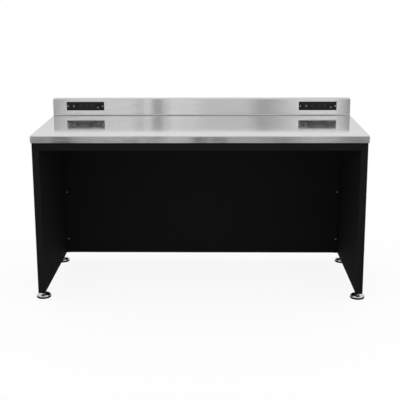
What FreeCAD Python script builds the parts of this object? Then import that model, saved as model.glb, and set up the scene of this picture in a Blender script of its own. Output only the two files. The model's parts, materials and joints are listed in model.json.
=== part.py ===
# Stainless steel work table with a boxed splash, two power modules, a folded steel base and levelling feet.
# Millimetres. X runs along the table, Y from the front to the back and Z up from the floor.
# The origin lies on the floor, under the middle of the table.

import FreeCAD
import Part
import Sketcher
import os
from types import SimpleNamespace

SIZES = {
    # worktop
    "table_width": 1828.8,
    "table_depth": 762.0,
    "work_height": 942.0,
    "edge_drop": 38.1,
    "top_sheet": 1.5,
    "edge_bend": 4.5,
    "corner_bend": 6.0,
    "return_lip": 12.7,
    "lip_notch": 18.0,
    # splash
    "splash_height": 101.6,
    "splash_depth": 63.5,
    "splash_bend": 3.0,
    "splash_flange": 15.0,
    "cove_radius": 6.0,
    "cove_land": 0.4,
    "cover_sheet": 1.2,
    "cover_inset": 3.0,
    "cover_setback": 2.2,
    "grommet_bore": 5.0,
    "grommet_neck": 8.0,
    "grommet_flange": 11.0,
    "grommet_lip": 2.0,
    # base
    "side_overhang": 6.0,
    "end_overhang": 8.0,
    "leg_thickness": 38.1,
    "base_sheet": 1.5,
    "base_bend": 3.0,
    "floor_gap": 43.0,
    "apron_height": 44.45,
    "rail_flange": 38.1,
    "leg_channel_height": 14.0,
    "leg_channel_sheet": 2.5,
    "boss_radius": 12.5,
    "boss_height": 14.0,
    "cleat_leg": 30.0,
    "cleat_sheet": 3.0,
    "cleat_gap": 1.0,
    # back panel
    "panel_setback": 20.0,
    "panel_return": 15.0,
    "panel_side_gap": 0.5,
    "angle_width": 22.0,
    "angle_sheet": 2.0,
    "angle_return": 16.0,
    # channels under the worktop
    "channel_pitch": 460.0,
    "channel_crown": 50.0,
    "channel_foot": 18.0,
    "channel_end_gap": 6.0,
    # levelling feet
    "foot_inset": 60.0,
    "pad_radius": 40.0,
    "pad_height": 8.0,
    "pad_chamfer": 0.8,
    "dish_radius": 39.0,
    "dish_rim": 2.0,
    "dish_shoulder_radius": 37.0,
    "dish_shoulder_rise": 9.0,
    "dish_crown_radius": 31.0,
    "dish_crown_rise": 12.4,
    "dish_rise": 13.4,
    "hub_radius": 14.0,
    "hub_height": 14.0,
    "hub_floor": 4.0,
    "stud_radius": 6.35,
    "stud_rise": 55.0,
    "stud_hex_radius": 9.2,
    "stud_hex_height": 7.0,
    "stud_hex_gap": 0.3,
    "running_clearance": 0.05,
    "jam_nut_radius": 11.0,
    "jam_nut_height": 7.9,
    # power modules
    "module_inset": 200.4,
    "module_rise": 57.85,
    "module_width": 231.0,
    "module_height": 52.7,
    "raised_width": 201.0,
    "face_height": 29.5,
    "face_proud": 5.6,
    "ear_sheet": 2.0,
    "bezel_wall": 2.0,
    "cutout_width": 194.0,
    "cutout_height": 42.0,
    "box_depth": 44.0,
    "box_wall": 1.5,
    "box_cord_hole": 6.0,
    # sockets of a module
    "first_outlet": 27.0,
    "outlet_pitch": 35.0,
    "outlet_width": 26.0,
    "outlet_height": 26.0,
    "outlet_depth": 24.0,
    "insert_fit": 0.1,
    "blade_pitch": 12.7,
    "slot_width": 2.2,
    "line_slot_height": 8.0,
    "neutral_slot_height": 9.2,
    "blade_drop": 4.0,
    "ground_rise": 7.9,
    "ground_radius": 3.0,
    "contact_sheet": 0.8,
    "contact_width": 3.0,
    "contact_grip": 9.0,
    "contact_tail": 6.0,
    "ground_contact_rise": 1.6,
    # rocker switch of a module
    "switch_offset": 70.5,
    "switch_width": 20.0,
    "switch_height": 22.0,
    "switch_flange": 1.5,
    "switch_lip": 1.0,
    "switch_depth": 16.0,
    "rocker_width": 11.5,
    "rocker_radius": 8.6,
    "rocker_gap": 0.3,
    "rocker_pivot_depth": 3.0,
    "rocker_valley": 2.2,
    "rocker_crest": 3.3,
    "rocker_back": 3.0,
    "rocker_tilt": 7.0,
    "trunnion_radius": 1.2,
    "trunnion_length": 1.5,
    # circuit breaker of a module
    "breaker_offset": 78.0,
    "breaker_drop": 7.6,
    "collar_radius": 7.0,
    "collar_proud": 2.5,
    "barrel_radius": 6.2,
    "barrel_length": 10.0,
    "breaker_width": 14.0,
    "breaker_height": 22.0,
    "breaker_depth": 22.0,
    "button_radius": 4.8,
    "button_gap": 0.3,
    "button_proud": 4.0,
    "button_length": 13.0,
    "button_travel": 3.0,
    # the room round what passes through a hole, and how far a cutting tool runs past what it cuts
    "hole_clearance": 0.2,
    "overcut": 2.0,
}

TOLERANCE = 0.01
CHANNEL_STEPS = (-1.5, -0.5, 0.5, 1.5)
OUTLET_STEPS = (0, 1, 2)
HEX = 6


class Size:
    """A length together with the formula on the sheet that gives it."""

    def __init__(self, amount, formula):
        self.amount = amount
        self.formula = formula

    def worked(self, sign, other, amount):
        return Size(amount, f"({self.formula} {sign} {as_size(other).formula})")

    def __add__(self, other):
        return self.worked("+", other, self.amount + as_size(other).amount)

    def __sub__(self, other):
        return self.worked("-", other, self.amount - as_size(other).amount)

    def __mul__(self, other):
        return self.worked("*", other, self.amount * as_size(other).amount)

    def __truediv__(self, other):
        return self.worked("/", other, self.amount / as_size(other).amount)

    def __neg__(self):
        return Size(-self.amount, f"(0 - {self.formula})")


def as_size(number):
    """A plain number as a size."""
    return number if isinstance(number, Size) else Size(number, f"({number})")


def write_sheet(doc):
    """The sheet of driving dimensions, and each of them as a size."""
    sheet = doc.addObject("Spreadsheet::Sheet", "dims")
    for row, (name, amount) in enumerate(SIZES.items(), 1):
        sheet.set(f"A{row}", name)
        sheet.set(f"B{row}", str(amount))
        sheet.setAlias(f"B{row}", name)
    doc.recompute()
    return SimpleNamespace(**{name: Size(amount, f"dims.{name}") for name, amount in SIZES.items()})


doc = FreeCAD.newDocument("work_table")
dim = write_sheet(doc)
nodes = []
nil = as_size(0)

# Planes and faces that several pieces share
half_width = dim.table_width / 2
half_depth = dim.table_depth / 2
pan_bottom = dim.work_height - dim.edge_drop
splash_front = half_depth - dim.splash_depth
hood_depth = dim.splash_depth - dim.cover_setback - dim.cover_sheet
hood_back = splash_front + hood_depth
leg_outer = half_width - dim.side_overhang
leg_inner = leg_outer - dim.leg_thickness
base_end = half_depth - dim.end_overhang
leg_height = pan_bottom - dim.floor_gap
apron_bottom = pan_bottom - dim.apron_height
panel_front = base_end - dim.panel_setback
panel_height = apron_bottom - dim.floor_gap
foot_x = leg_outer - dim.leg_thickness / 2
foot_y = base_end - dim.foot_inset
channel_lift = dim.edge_drop - dim.top_sheet
module_x = half_width - dim.module_inset
module_level = dim.work_height + dim.module_rise
face_plane = splash_front - dim.face_proud


# General modelling steps

def keep(thing):
    """Counts a finished piece as one of the table's nodes."""
    nodes.append(thing)
    return thing


def place(thing, x, y, z):
    """Ties a piece's place to the sheet."""
    for axis, spot in zip("xyz", (x, y, z)):
        thing.setExpression(f"Placement.Base.{axis}", as_size(spot).formula)
    return thing


def turn(thing, axis, degrees):
    """Turns a piece about an axis through its own origin."""
    thing.Placement = FreeCAD.Placement(FreeCAD.Vector(), FreeCAD.Rotation(FreeCAD.Vector(*axis), degrees))
    return thing


def box(name, length, width, height, x, y, z):
    made = doc.addObject("Part::Box", name)
    for side, size in zip(("Length", "Width", "Height"), (length, width, height)):
        made.setExpression(side, as_size(size).formula)
    return place(made, x, y, z)


def rod(name, radius, length, x, y, z, along="z"):
    """A cylinder that starts at a point and runs along an axis."""
    made = doc.addObject("Part::Cylinder", name)
    made.setExpression("Radius", as_size(radius).formula)
    made.setExpression("Height", as_size(length).formula)
    if along == "x":
        turn(made, (0, 1, 0), 90)
    if along == "y":
        turn(made, (1, 0, 0), -90)
    return place(made, x, y, z)


def hexagon(name, radius, height, x, y, z):
    made = doc.addObject("Part::Prism", name)
    made.Polygon = HEX
    made.setExpression("Circumradius", as_size(radius).formula)
    made.setExpression("Height", as_size(height).formula)
    return place(made, x, y, z)


def joined(name, *pieces):
    made = doc.addObject("Part::MultiFuse", name)
    made.Shapes = list(pieces)
    return made


def group(name, pieces):
    """Separate solids that share one node."""
    made = doc.addObject("Part::Compound", name)
    made.Links = list(pieces)
    return made


def cut(name, base, tools):
    made = doc.addObject("Part::Cut", name)
    made.Base = base
    made.Tool = group(f"{name}_tools", tools)
    return made


def mirror(name, source, normal):
    """The twin of a piece on the other side of the table's middle plane."""
    made = doc.addObject("Part::Mirroring", name)
    made.Source = source
    made.Normal = FreeCAD.Vector(*normal)
    return made


def body_at(name, x, y, z):
    return place(doc.addObject("PartDesign::Body", name), x, y, z)


def rectangle(left, low, right, high):
    return [(left, low), (right, low), (right, high), (left, high)]


def channel_outline(depth, height, sheet):
    """A channel's section: its web stands on the first axis's zero and its flanges run along that axis."""
    return [
        (nil, nil),
        (depth, nil),
        (depth, sheet),
        (sheet, sheet),
        (sheet, height - sheet),
        (depth, height - sheet),
        (depth, height),
        (nil, height),
    ]


def outline(body, name, plane, loops=(), circles=(), lift=nil):
    """A sketch on one of a body's own planes. Each corner, centre and radius is tied to the sheet."""
    sketch = body.newObject("Sketcher::SketchObject", name)
    support = [feature for feature in body.Origin.OriginFeatures if feature.Role == plane]
    sketch.AttachmentSupport = [(support[0], "")]
    sketch.MapMode = "FlatFace"
    sketch.setExpression("AttachmentOffset.Base.z", lift.formula)

    def tie(kind, *rest):
        *ends, size = rest
        spot = sketch.addConstraint(Sketcher.Constraint(kind, *ends, size.amount))
        sketch.setExpression(f"Constraints[{spot}]", size.formula)

    for loop in loops:
        first = sketch.GeometryCount
        corners = [FreeCAD.Vector(x.amount, y.amount, 0) for x, y in loop]
        for start, end in zip(corners, corners[1:] + corners[:1]):
            sketch.addGeometry(Part.LineSegment(start, end))
        for step, (x, y) in enumerate(loop):
            following = first + (step + 1) % len(loop)
            sketch.addConstraint(Sketcher.Constraint("Coincident", first + step, 2, following, 1))
            tie("DistanceX", -1, 1, first + step, 1, x)
            tie("DistanceY", -1, 1, first + step, 1, y)
    for x, y, radius in circles:
        centre = FreeCAD.Vector(x.amount, y.amount, 0)
        edge = sketch.addGeometry(Part.Circle(centre, FreeCAD.Vector(0, 0, 1), radius.amount))
        tie("DistanceX", -1, 1, edge, 3, x)
        tie("DistanceY", -1, 1, edge, 3, y)
        tie("Radius", edge, radius)
    doc.recompute()
    return sketch


def pad(body, sketch, length, both_ways=False, backwards=False):
    made = body.newObject("PartDesign::Pad", f"{sketch.Name}_pad")
    made.Profile = sketch
    made.setExpression("Length", length.formula)
    if both_ways:
        made.SideType = "Symmetric"
    made.Reversed = backwards
    doc.recompute()
    return made


def pocket(body, sketch, length, both_ways=True):
    """Cuts a sketch's outline out of a body. A cut that takes nothing away is an error."""
    before = body.Shape.Volume
    made = body.newObject("PartDesign::Pocket", f"{sketch.Name}_pocket")
    made.Profile = sketch
    made.setExpression("Length", length.formula)
    if both_ways:
        made.SideType = "Symmetric"
    doc.recompute()
    if body.Shape.Volume > before - TOLERANCE:
        raise RuntimeError(f"{made.Name} cuts nothing")
    return made


def revolve(body, sketch):
    made = body.newObject("PartDesign::Revolution", f"{sketch.Name}_turned")
    made.Profile = sketch
    made.ReferenceAxis = (sketch, ["V_Axis"])
    made.Angle = 360
    doc.recompute()
    return made


def near(amount, size):
    return abs(amount - size.amount) < TOLERANCE


def edges_at(shape, **spots):
    """The edges whose every end lies at the given x, y or z."""
    found = []
    for number, edge in enumerate(shape.Edges, 1):
        ends = [vertex.Point for vertex in edge.Vertexes]
        if all(near(getattr(end, axis), spot) for end in ends for axis, spot in spots.items()):
            found.append(f"Edge{number}")
    return found


def face_names(shape, **spots):
    """The flat faces that lie at the given x, y or z."""
    found = []
    for number, face in enumerate(shape.Faces, 1):
        corners = [vertex.Point for vertex in face.Vertexes]
        if all(near(getattr(corner, axis), spot) for corner in corners for axis, spot in spots.items()):
            found.append(f"Face{number}")
    return found


def fillet(body, edge_names, radius):
    base = body.Tip
    made = body.newObject("PartDesign::Fillet", f"{body.Name}_bend")
    made.Base = (base, edge_names)
    made.setExpression("Radius", radius.formula)
    doc.recompute()
    return made


def fold(body, outer_lines, inner_lines, bend, sheet):
    """Rounds a folded sheet's bends: the outside of each by its radius and the inside by a sheet less."""
    for lines, radius in ((outer_lines, bend), (inner_lines, bend - sheet)):
        fillet(body, [name for line in lines for name in edges_at(body.Tip.Shape, **line)], radius)


def shell(body, open_faces, sheet):
    """Hollows a block to sheet thickness, open at the named faces."""
    base = body.Tip
    made = body.newObject("PartDesign::Thickness", f"{body.Name}_shell")
    made.Base = (base, open_faces)
    made.setExpression("Value", sheet.formula)
    made.Reversed = True
    doc.recompute()
    return made


# Worktop and splash

def worktop_pan():
    """One sheet folded down on four sides, with rounded edges and lips turned in underneath."""
    body = body_at("worktop_pan", nil, nil, pan_bottom)
    sheet_edge = rectangle(-half_width, -half_depth, half_width, half_depth)
    pad(body, outline(body, "pan_outline", "XY_Plane", [sheet_edge]), dim.edge_drop)
    corners = [name for x, y in sheet_edge for name in edges_at(body.Tip.Shape, x=x, y=y)]
    fillet(body, corners, dim.corner_bend)
    fillet(body, edges_at(body.Tip.Shape, z=dim.edge_drop), dim.edge_bend)
    shell(body, face_names(body.Tip.Shape, z=nil), dim.top_sheet)
    inside_x = half_width - dim.top_sheet
    inside_y = half_depth - dim.top_sheet
    lip_x = half_width - dim.lip_notch
    lip_y = half_depth - dim.lip_notch
    lips = [
        rectangle(-lip_x, -inside_y, lip_x, dim.return_lip - inside_y),
        rectangle(-lip_x, inside_y - dim.return_lip, lip_x, inside_y),
        rectangle(-inside_x, -lip_y, dim.return_lip - inside_x, lip_y),
        rectangle(inside_x - dim.return_lip, -lip_y, inside_x, lip_y),
    ]
    pad(body, outline(body, "pan_lips", "XY_Plane", lips), dim.top_sheet)
    return keep(body)


def splash_hood():
    """The boxed splash: front, top and ends in one sheet, with a flange round its open back."""
    body = body_at("splash_hood", nil, splash_front, dim.work_height)
    foot = rectangle(-half_width, nil, half_width, hood_depth)
    pad(body, outline(body, "hood_outline", "XY_Plane", [foot]), dim.splash_height)
    block = body.Tip.Shape
    bends = edges_at(block, y=nil, z=dim.splash_height)
    for x in (-half_width, half_width):
        bends += edges_at(block, x=x, z=dim.splash_height) + edges_at(block, x=x, y=nil)
    fillet(body, bends, dim.splash_bend)
    block = body.Tip.Shape
    shell(body, face_names(block, z=nil) + face_names(block, y=hood_depth), dim.top_sheet)
    inside_x = half_width - dim.top_sheet
    inside_z = dim.splash_height - dim.top_sheet
    flange = [
        rectangle(-inside_x, nil, inside_x, inside_z),
        rectangle(dim.splash_flange - inside_x, dim.splash_flange,
                  inside_x - dim.splash_flange, inside_z - dim.splash_flange),
    ]
    pad(body, outline(body, "hood_flange", "XZ_Plane", flange, lift=-hood_depth), dim.top_sheet)
    half_cut = dim.cutout_width / 2
    low = dim.module_rise - dim.cutout_height / 2
    high = dim.module_rise + dim.cutout_height / 2
    windows = [rectangle(centre - half_cut, low, centre + half_cut, high)
               for centre in (-module_x, module_x)]
    pocket(body, outline(body, "hood_windows", "XZ_Plane", windows), dim.top_sheet * 4)
    return keep(body)


def splash_cove():
    """The ground weld bead that coves the corner between worktop and splash."""
    side = dim.cove_radius + dim.cove_land
    half_length = half_width - dim.splash_bend
    bead = box("cove_block", half_length * 2, side, side, -half_length, splash_front - side, dim.work_height)
    hollow = rod("cove_hollow", dim.cove_radius, half_length * 2 + dim.overcut * 2,
                 -half_length - dim.overcut, splash_front - side, dim.work_height + side, along="x")
    return keep(cut("splash_cove", bead, [hollow]))


def splash_rear_cover():
    """The flat plate that closes the splash's back, with holes for the cord grommets."""
    body = body_at("splash_rear_cover", nil, hood_back, dim.work_height)
    reach = half_width - dim.cover_inset
    plate = rectangle(-reach, dim.cover_inset, reach, dim.splash_height - dim.cover_inset)
    hole = dim.grommet_neck + dim.hole_clearance
    holes = [(module_x * side, dim.splash_height / 2, hole) for side in (-1, 1)]
    sketch = outline(body, "cover_outline", "XZ_Plane", [plate], holes)
    pad(body, sketch, dim.cover_sheet, backwards=True)
    return keep(body)


def cord_grommets():
    """Two rubber rings that line the cord holes of the rear cover."""
    made = []
    level = dim.work_height + dim.splash_height / 2
    inner_face = hood_back - dim.grommet_lip
    outer_face = hood_back + dim.cover_sheet
    length = dim.cover_sheet + dim.grommet_lip * 2
    flange = (dim.grommet_flange, dim.grommet_lip)
    for name, x in (("left", -module_x), ("right", module_x)):
        ring = joined(
            f"{name}_grommet_ring",
            rod(f"{name}_grommet_inner", *flange, x, inner_face, level, along="y"),
            rod(f"{name}_grommet_neck", dim.grommet_neck, length, x, inner_face, level, along="y"),
            rod(f"{name}_grommet_outer", *flange, x, outer_face, level, along="y"),
        )
        bore = rod(f"{name}_grommet_bore", dim.grommet_bore, length + dim.overcut * 2,
                   x, inner_face - dim.overcut, level, along="y")
        made.append(cut(f"{name}_grommet", ring, [bore]))
    return keep(group("cord_grommets", made))


def cross_channels():
    """Hat channels that stiffen the worktop and rest on the two rails."""
    crown = dim.channel_crown / 2
    wide = crown + dim.channel_foot
    sheet = dim.base_sheet
    inner = crown - sheet
    under = channel_lift - sheet
    hat = [
        (-wide, nil), (-inner, nil), (-inner, under), (inner, under), (inner, nil), (wide, nil),
        (wide, sheet), (crown, sheet), (crown, channel_lift),
        (-crown, channel_lift), (-crown, sheet), (-wide, sheet),
    ]
    half_length = half_depth - dim.top_sheet - dim.return_lip - dim.channel_end_gap
    for number, step in enumerate(CHANNEL_STEPS, 1):
        body = body_at(f"cross_channel_{number}", dim.channel_pitch * step, nil, pan_bottom)
        pad(body, outline(body, "hat_outline", "XZ_Plane", [hat]), half_length * 2, both_ways=True)
        outer = [{"x": crown, "z": channel_lift}, {"x": -crown, "z": channel_lift},
                 {"x": inner, "z": nil}, {"x": -inner, "z": nil}]
        inside = [{"x": inner, "z": under}, {"x": -inner, "z": under},
                  {"x": crown, "z": sheet}, {"x": -crown, "z": sheet}]
        fold(body, outer, inside, dim.base_bend, sheet)
        keep(body)


# Legs and rails

def both_sides(build, name):
    """A piece of the left leg and its twin in the right leg."""
    left = keep(build(f"left_{name}"))
    keep(mirror(f"right_{name}", left, (1, 0, 0)))


def leg_skin(name):
    """A leg's outer sheet, folded round its front and back edges."""
    body = body_at(name, -leg_outer, -base_end, dim.floor_gap)
    depth = base_end * 2
    sheet = dim.base_sheet
    section = channel_outline(dim.leg_thickness, depth, sheet)
    pad(body, outline(body, "skin_section", "XY_Plane", [section]), leg_height)
    outer = [{"x": nil, "y": nil}, {"x": nil, "y": depth}]
    inner = [{"x": sheet, "y": sheet}, {"x": sheet, "y": depth - sheet}]
    fold(body, outer, inner, dim.base_bend, sheet)
    return body


def leg_inner_skin(name):
    """The flat sheet that closes a leg's inner side."""
    reach = base_end - dim.base_sheet
    return box(name, dim.base_sheet, reach * 2, leg_height,
               -leg_inner - dim.base_sheet, -reach, dim.floor_gap)


def leg_channel_section(up):
    """A channel that fits between a leg's two sheets, with its flanges turned up or down."""
    inside = dim.leg_thickness - dim.base_sheet * 2
    sheet = dim.leg_channel_sheet
    return [
        (nil, nil),
        (inside, nil),
        (inside, dim.leg_channel_height * up),
        (inside - sheet, dim.leg_channel_height * up),
        (inside - sheet, sheet * up),
        (sheet, sheet * up),
        (sheet, dim.leg_channel_height * up),
        (nil, dim.leg_channel_height * up),
    ]


def foot_channel(name):
    """The leg's bottom channel, with a threaded boss over each levelling foot."""
    body = body_at(name, dim.base_sheet - leg_outer, nil, dim.floor_gap)
    section = outline(body, "foot_section", "XZ_Plane", [leg_channel_section(1)])
    pad(body, section, (base_end - dim.base_bend) * 2, both_ways=True)
    middle = dim.leg_thickness / 2 - dim.base_sheet
    bosses = [(middle, foot_y * end, dim.boss_radius) for end in (-1, 1)]
    pad(body, outline(body, "bosses", "XY_Plane", circles=bosses), dim.boss_height)
    threads = [(middle, foot_y * end, dim.stud_radius + dim.running_clearance) for end in (-1, 1)]
    pocket(body, outline(body, "threads", "XY_Plane", circles=threads), (dim.boss_height + dim.overcut) * 2)
    return body


def top_channel(name):
    """The channel that stiffens a leg's top edge, where the worktop rests."""
    body = body_at(name, dim.base_sheet - leg_outer, nil, pan_bottom)
    section = outline(body, "top_section", "XZ_Plane", [leg_channel_section(-1)])
    pad(body, section, (base_end - dim.base_bend) * 2, both_ways=True)
    return body


def rails():
    """The front apron and the rear rail: channels between the legs, flush with the legs' edges."""
    body = body_at("front_apron", nil, -base_end, apron_bottom)
    sheet = dim.base_sheet
    section = channel_outline(dim.rail_flange, dim.apron_height, sheet)
    pad(body, outline(body, "rail_section", "YZ_Plane", [section]), leg_inner * 2, both_ways=True)
    outer = [{"y": nil, "z": nil}, {"y": nil, "z": dim.apron_height}]
    inner = [{"y": sheet, "z": sheet}, {"y": sheet, "z": dim.apron_height - sheet}]
    fold(body, outer, inner, dim.base_bend, sheet)
    keep(body)
    keep(mirror("rear_rail", body, (0, 1, 0)))


def rail_cleats():
    """Angles inside the rails' ends, welded to the rail and screwed to the leg."""
    low = apron_bottom + dim.base_bend + dim.cleat_gap
    height = dim.apron_height - (dim.base_bend + dim.cleat_gap) * 2
    start = dim.base_sheet - base_end
    block = box("cleat_block", dim.cleat_leg, dim.cleat_leg, height, -leg_inner, start, low)
    hollow = box("cleat_hollow", dim.cleat_leg, dim.cleat_leg, height + dim.overcut * 2,
                 dim.cleat_sheet - leg_inner, start + dim.cleat_sheet, low - dim.overcut)
    front_left = keep(cut("rail_cleat_front_left", block, [hollow]))
    front_right = keep(mirror("rail_cleat_front_right", front_left, (1, 0, 0)))
    keep(mirror("rail_cleat_rear_left", front_left, (0, 1, 0)))
    keep(mirror("rail_cleat_rear_right", front_right, (0, 1, 0)))


# Back panel

def back_panel():
    """The sheet behind the knee space, with its top and bottom edges turned back."""
    body = body_at("back_panel", nil, panel_front, dim.floor_gap)
    sheet = dim.base_sheet
    section = channel_outline(dim.panel_return, panel_height, sheet)
    length = (leg_inner - dim.base_bend - dim.panel_side_gap) * 2
    pad(body, outline(body, "panel_section", "YZ_Plane", [section]), length, both_ways=True)
    outer = [{"y": nil, "z": nil}, {"y": nil, "z": panel_height}]
    inner = [{"y": sheet, "z": sheet}, {"y": sheet, "z": panel_height - sheet}]
    fold(body, outer, inner, dim.base_bend, sheet)
    return keep(body)


def panel_angle(name):
    """The angle on a leg's inner side that the back panel is screwed to."""
    body = body_at(name, -leg_inner, panel_front - dim.angle_sheet, dim.floor_gap)
    sheet = dim.angle_sheet
    section = [(nil, nil), (dim.angle_width, nil), (dim.angle_width, sheet),
               (sheet, sheet), (sheet, dim.angle_return), (nil, dim.angle_return)]
    pad(body, outline(body, "angle_section", "XY_Plane", [section]), panel_height)
    fold(body, [{"x": nil, "y": nil}], [{"x": sheet, "y": sheet}], dim.base_bend, sheet)
    return body


# Levelling feet

def foot(corner, x, y):
    """One levelling foot: a rubber pad, a domed steel base and a stud that turns in the base's hub."""
    pad_body = body_at(f"foot_pad_{corner}", x, y, nil)
    section = [(nil, nil), (dim.pad_radius - dim.pad_chamfer, nil), (dim.pad_radius, dim.pad_chamfer),
               (dim.pad_radius, dim.pad_height), (nil, dim.pad_height)]
    revolve(pad_body, outline(pad_body, "pad_section", "XZ_Plane", [section]))
    keep(pad_body)

    base = body_at(f"foot_base_{corner}", x, y, dim.pad_height)
    bore = dim.stud_radius + dim.running_clearance
    dish = [
        (nil, nil), (dim.dish_radius, nil), (dim.dish_radius, dim.dish_rim),
        (dim.dish_shoulder_radius, dim.dish_shoulder_rise), (dim.dish_crown_radius, dim.dish_crown_rise),
        (dim.hub_radius, dim.dish_rise), (dim.hub_radius, dim.hub_height),
        (bore, dim.hub_height), (bore, dim.hub_floor), (nil, dim.hub_floor),
    ]
    revolve(base, outline(base, "dish_section", "XZ_Plane", [dish]))
    keep(base)

    stud_foot = dim.pad_height + dim.hub_floor
    stud_length = dim.floor_gap + dim.stud_rise - stud_foot
    hub_top = dim.pad_height + dim.hub_height
    shaft = rod(f"stud_shaft_{corner}", dim.stud_radius, stud_length, x, y, stud_foot)
    flats = hexagon(f"stud_flats_{corner}", dim.stud_hex_radius, dim.stud_hex_height,
                    x, y, hub_top + dim.stud_hex_gap)
    keep(joined(f"foot_stud_{corner}", shaft, flats))


def jam_nut(corner, x, y):
    """The nut that locks a foot's stud against the leg."""
    low = dim.floor_gap - dim.jam_nut_height
    blank = hexagon(f"nut_blank_{corner}", dim.jam_nut_radius, dim.jam_nut_height, x, y, low)
    bore = rod(f"nut_bore_{corner}", dim.stud_radius + dim.running_clearance,
               dim.jam_nut_height + dim.overcut * 2, x, y, low - dim.overcut)
    keep(cut(f"jam_nut_{corner}", blank, [bore]))


def feet():
    for end_name, end in (("front", -1), ("rear", 1)):
        for side_name, side in (("left", -1), ("right", 1)):
            corner = f"{end_name}_{side_name}"
            foot(corner, foot_x * side, foot_y * end)
            jam_nut(corner, foot_x * side, foot_y * end)


# Power modules

def outlet_places(centre):
    return [centre - dim.first_outlet + dim.outlet_pitch * step for step in OUTLET_STEPS]


def power_bezel(side, centre):
    """The moulded front: flat ears, a raised body with sloped bands, and windows for what it holds."""
    body = body_at(f"{side}_power_bezel", centre, splash_front, module_level)
    half_height = dim.module_height / 2
    half_face = dim.face_height / 2
    ears = rectangle(-dim.module_width / 2, -half_height, dim.module_width / 2, half_height)
    pad(body, outline(body, "ears", "XZ_Plane", [ears]), dim.ear_sheet)
    raised = [(nil, -half_height), (-dim.face_proud, -half_face),
              (-dim.face_proud, half_face), (nil, half_height)]
    pad(body, outline(body, "raised", "YZ_Plane", [raised]), dim.raised_width, both_ways=True)
    wall = dim.bezel_wall
    hollow = [(dim.overcut, wall * 2 - half_height), (nil, wall * 2 - half_height),
              (wall - dim.face_proud, wall - half_face), (wall - dim.face_proud, half_face - wall),
              (nil, half_height - wall * 2), (dim.overcut, half_height - wall * 2)]
    pocket(body, outline(body, "hollow", "YZ_Plane", [hollow]), dim.raised_width - wall * 2)
    fit = dim.insert_fit
    half_window = dim.outlet_width / 2 + fit
    high_window = dim.outlet_height / 2 + fit
    windows = [rectangle(x - half_window, -high_window, x + half_window, high_window)
               for x in outlet_places(nil)]
    half_switch = dim.switch_width / 2 - dim.switch_lip + fit
    high_switch = dim.switch_height / 2 - dim.switch_lip + fit
    windows.append(rectangle(-dim.switch_offset - half_switch, -high_switch,
                             half_switch - dim.switch_offset, high_switch))
    barrel_hole = [(dim.breaker_offset, -dim.breaker_drop, dim.barrel_radius + dim.hole_clearance)]
    pocket(body, outline(body, "windows", "XZ_Plane", windows, barrel_hole), dim.face_proud * 4)
    return keep(body)


def power_back_box(side, centre):
    """The box behind the splash that takes the wiring, clamped to the splash with the bezel."""
    body = body_at(f"{side}_power_back_box", centre, splash_front + dim.top_sheet, module_level)
    wall = dim.box_wall
    half_cut = dim.cutout_width / 2
    high_cut = dim.cutout_height / 2
    half_width_of_flange = dim.module_width / 2
    half_height = dim.module_height / 2
    flange = rectangle(-half_width_of_flange, -half_height, half_width_of_flange, half_height)
    pad(body, outline(body, "box_flange", "XZ_Plane", [flange]), wall, backwards=True)
    outside = rectangle(-half_cut - wall, -high_cut - wall, half_cut + wall, high_cut + wall)
    pad(body, outline(body, "box_outside", "XZ_Plane", [outside]), dim.box_depth, backwards=True)
    inside = rectangle(-half_cut, -high_cut, half_cut, high_cut)
    pocket(body, outline(body, "box_inside", "XZ_Plane", [inside]), (dim.box_depth - wall) * 2)
    cord = [(nil, nil, dim.box_cord_hole)]
    pocket(body, outline(body, "box_cord_hole", "XZ_Plane", circles=cord, lift=-dim.box_depth), wall * 4)
    return keep(body)


def outlets(side, centre):
    """Three socket inserts with the ground hole above the two blade slots, and their brass contacts."""
    inserts = []
    contacts = []
    back = face_plane + dim.outlet_depth
    grip = back - dim.contact_grip
    contact_length = dim.contact_grip + dim.contact_tail
    through = dim.outlet_depth + dim.overcut * 2
    for number, x in enumerate(outlet_places(centre), 1):
        name = f"{side}_outlet_{number}"
        block = box(f"{name}_block", dim.outlet_width, dim.outlet_depth, dim.outlet_height,
                    x - dim.outlet_width / 2, face_plane, module_level - dim.outlet_height / 2)
        tools = [rod(f"{name}_ground", dim.ground_radius, through,
                     x, face_plane - dim.overcut, module_level + dim.ground_rise, along="y")]
        blades = (("line", -1, dim.line_slot_height), ("neutral", 1, dim.neutral_slot_height))
        for blade, way, height in blades:
            slot_x = x + dim.blade_pitch / 2 * way
            low = module_level - dim.blade_drop - height / 2
            tools.append(box(f"{name}_{blade}_slot", dim.slot_width, through, height,
                             slot_x - dim.slot_width / 2, face_plane - dim.overcut, low))
            far_wall = slot_x + (dim.slot_width / 2 - dim.contact_sheet / 2) * way
            contacts.append(box(f"{name}_{blade}_contact", dim.contact_sheet, contact_length, height,
                                far_wall - dim.contact_sheet / 2, grip, low))
        inserts.append(cut(name, block, tools))
        contacts.append(box(f"{name}_ground_contact", dim.contact_width, contact_length, dim.contact_sheet,
                            x - dim.contact_width / 2, grip,
                            module_level + dim.ground_rise + dim.ground_contact_rise))
    keep(group(f"{side}_outlets", inserts))
    keep(group(f"{side}_outlet_contacts", contacts))


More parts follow.
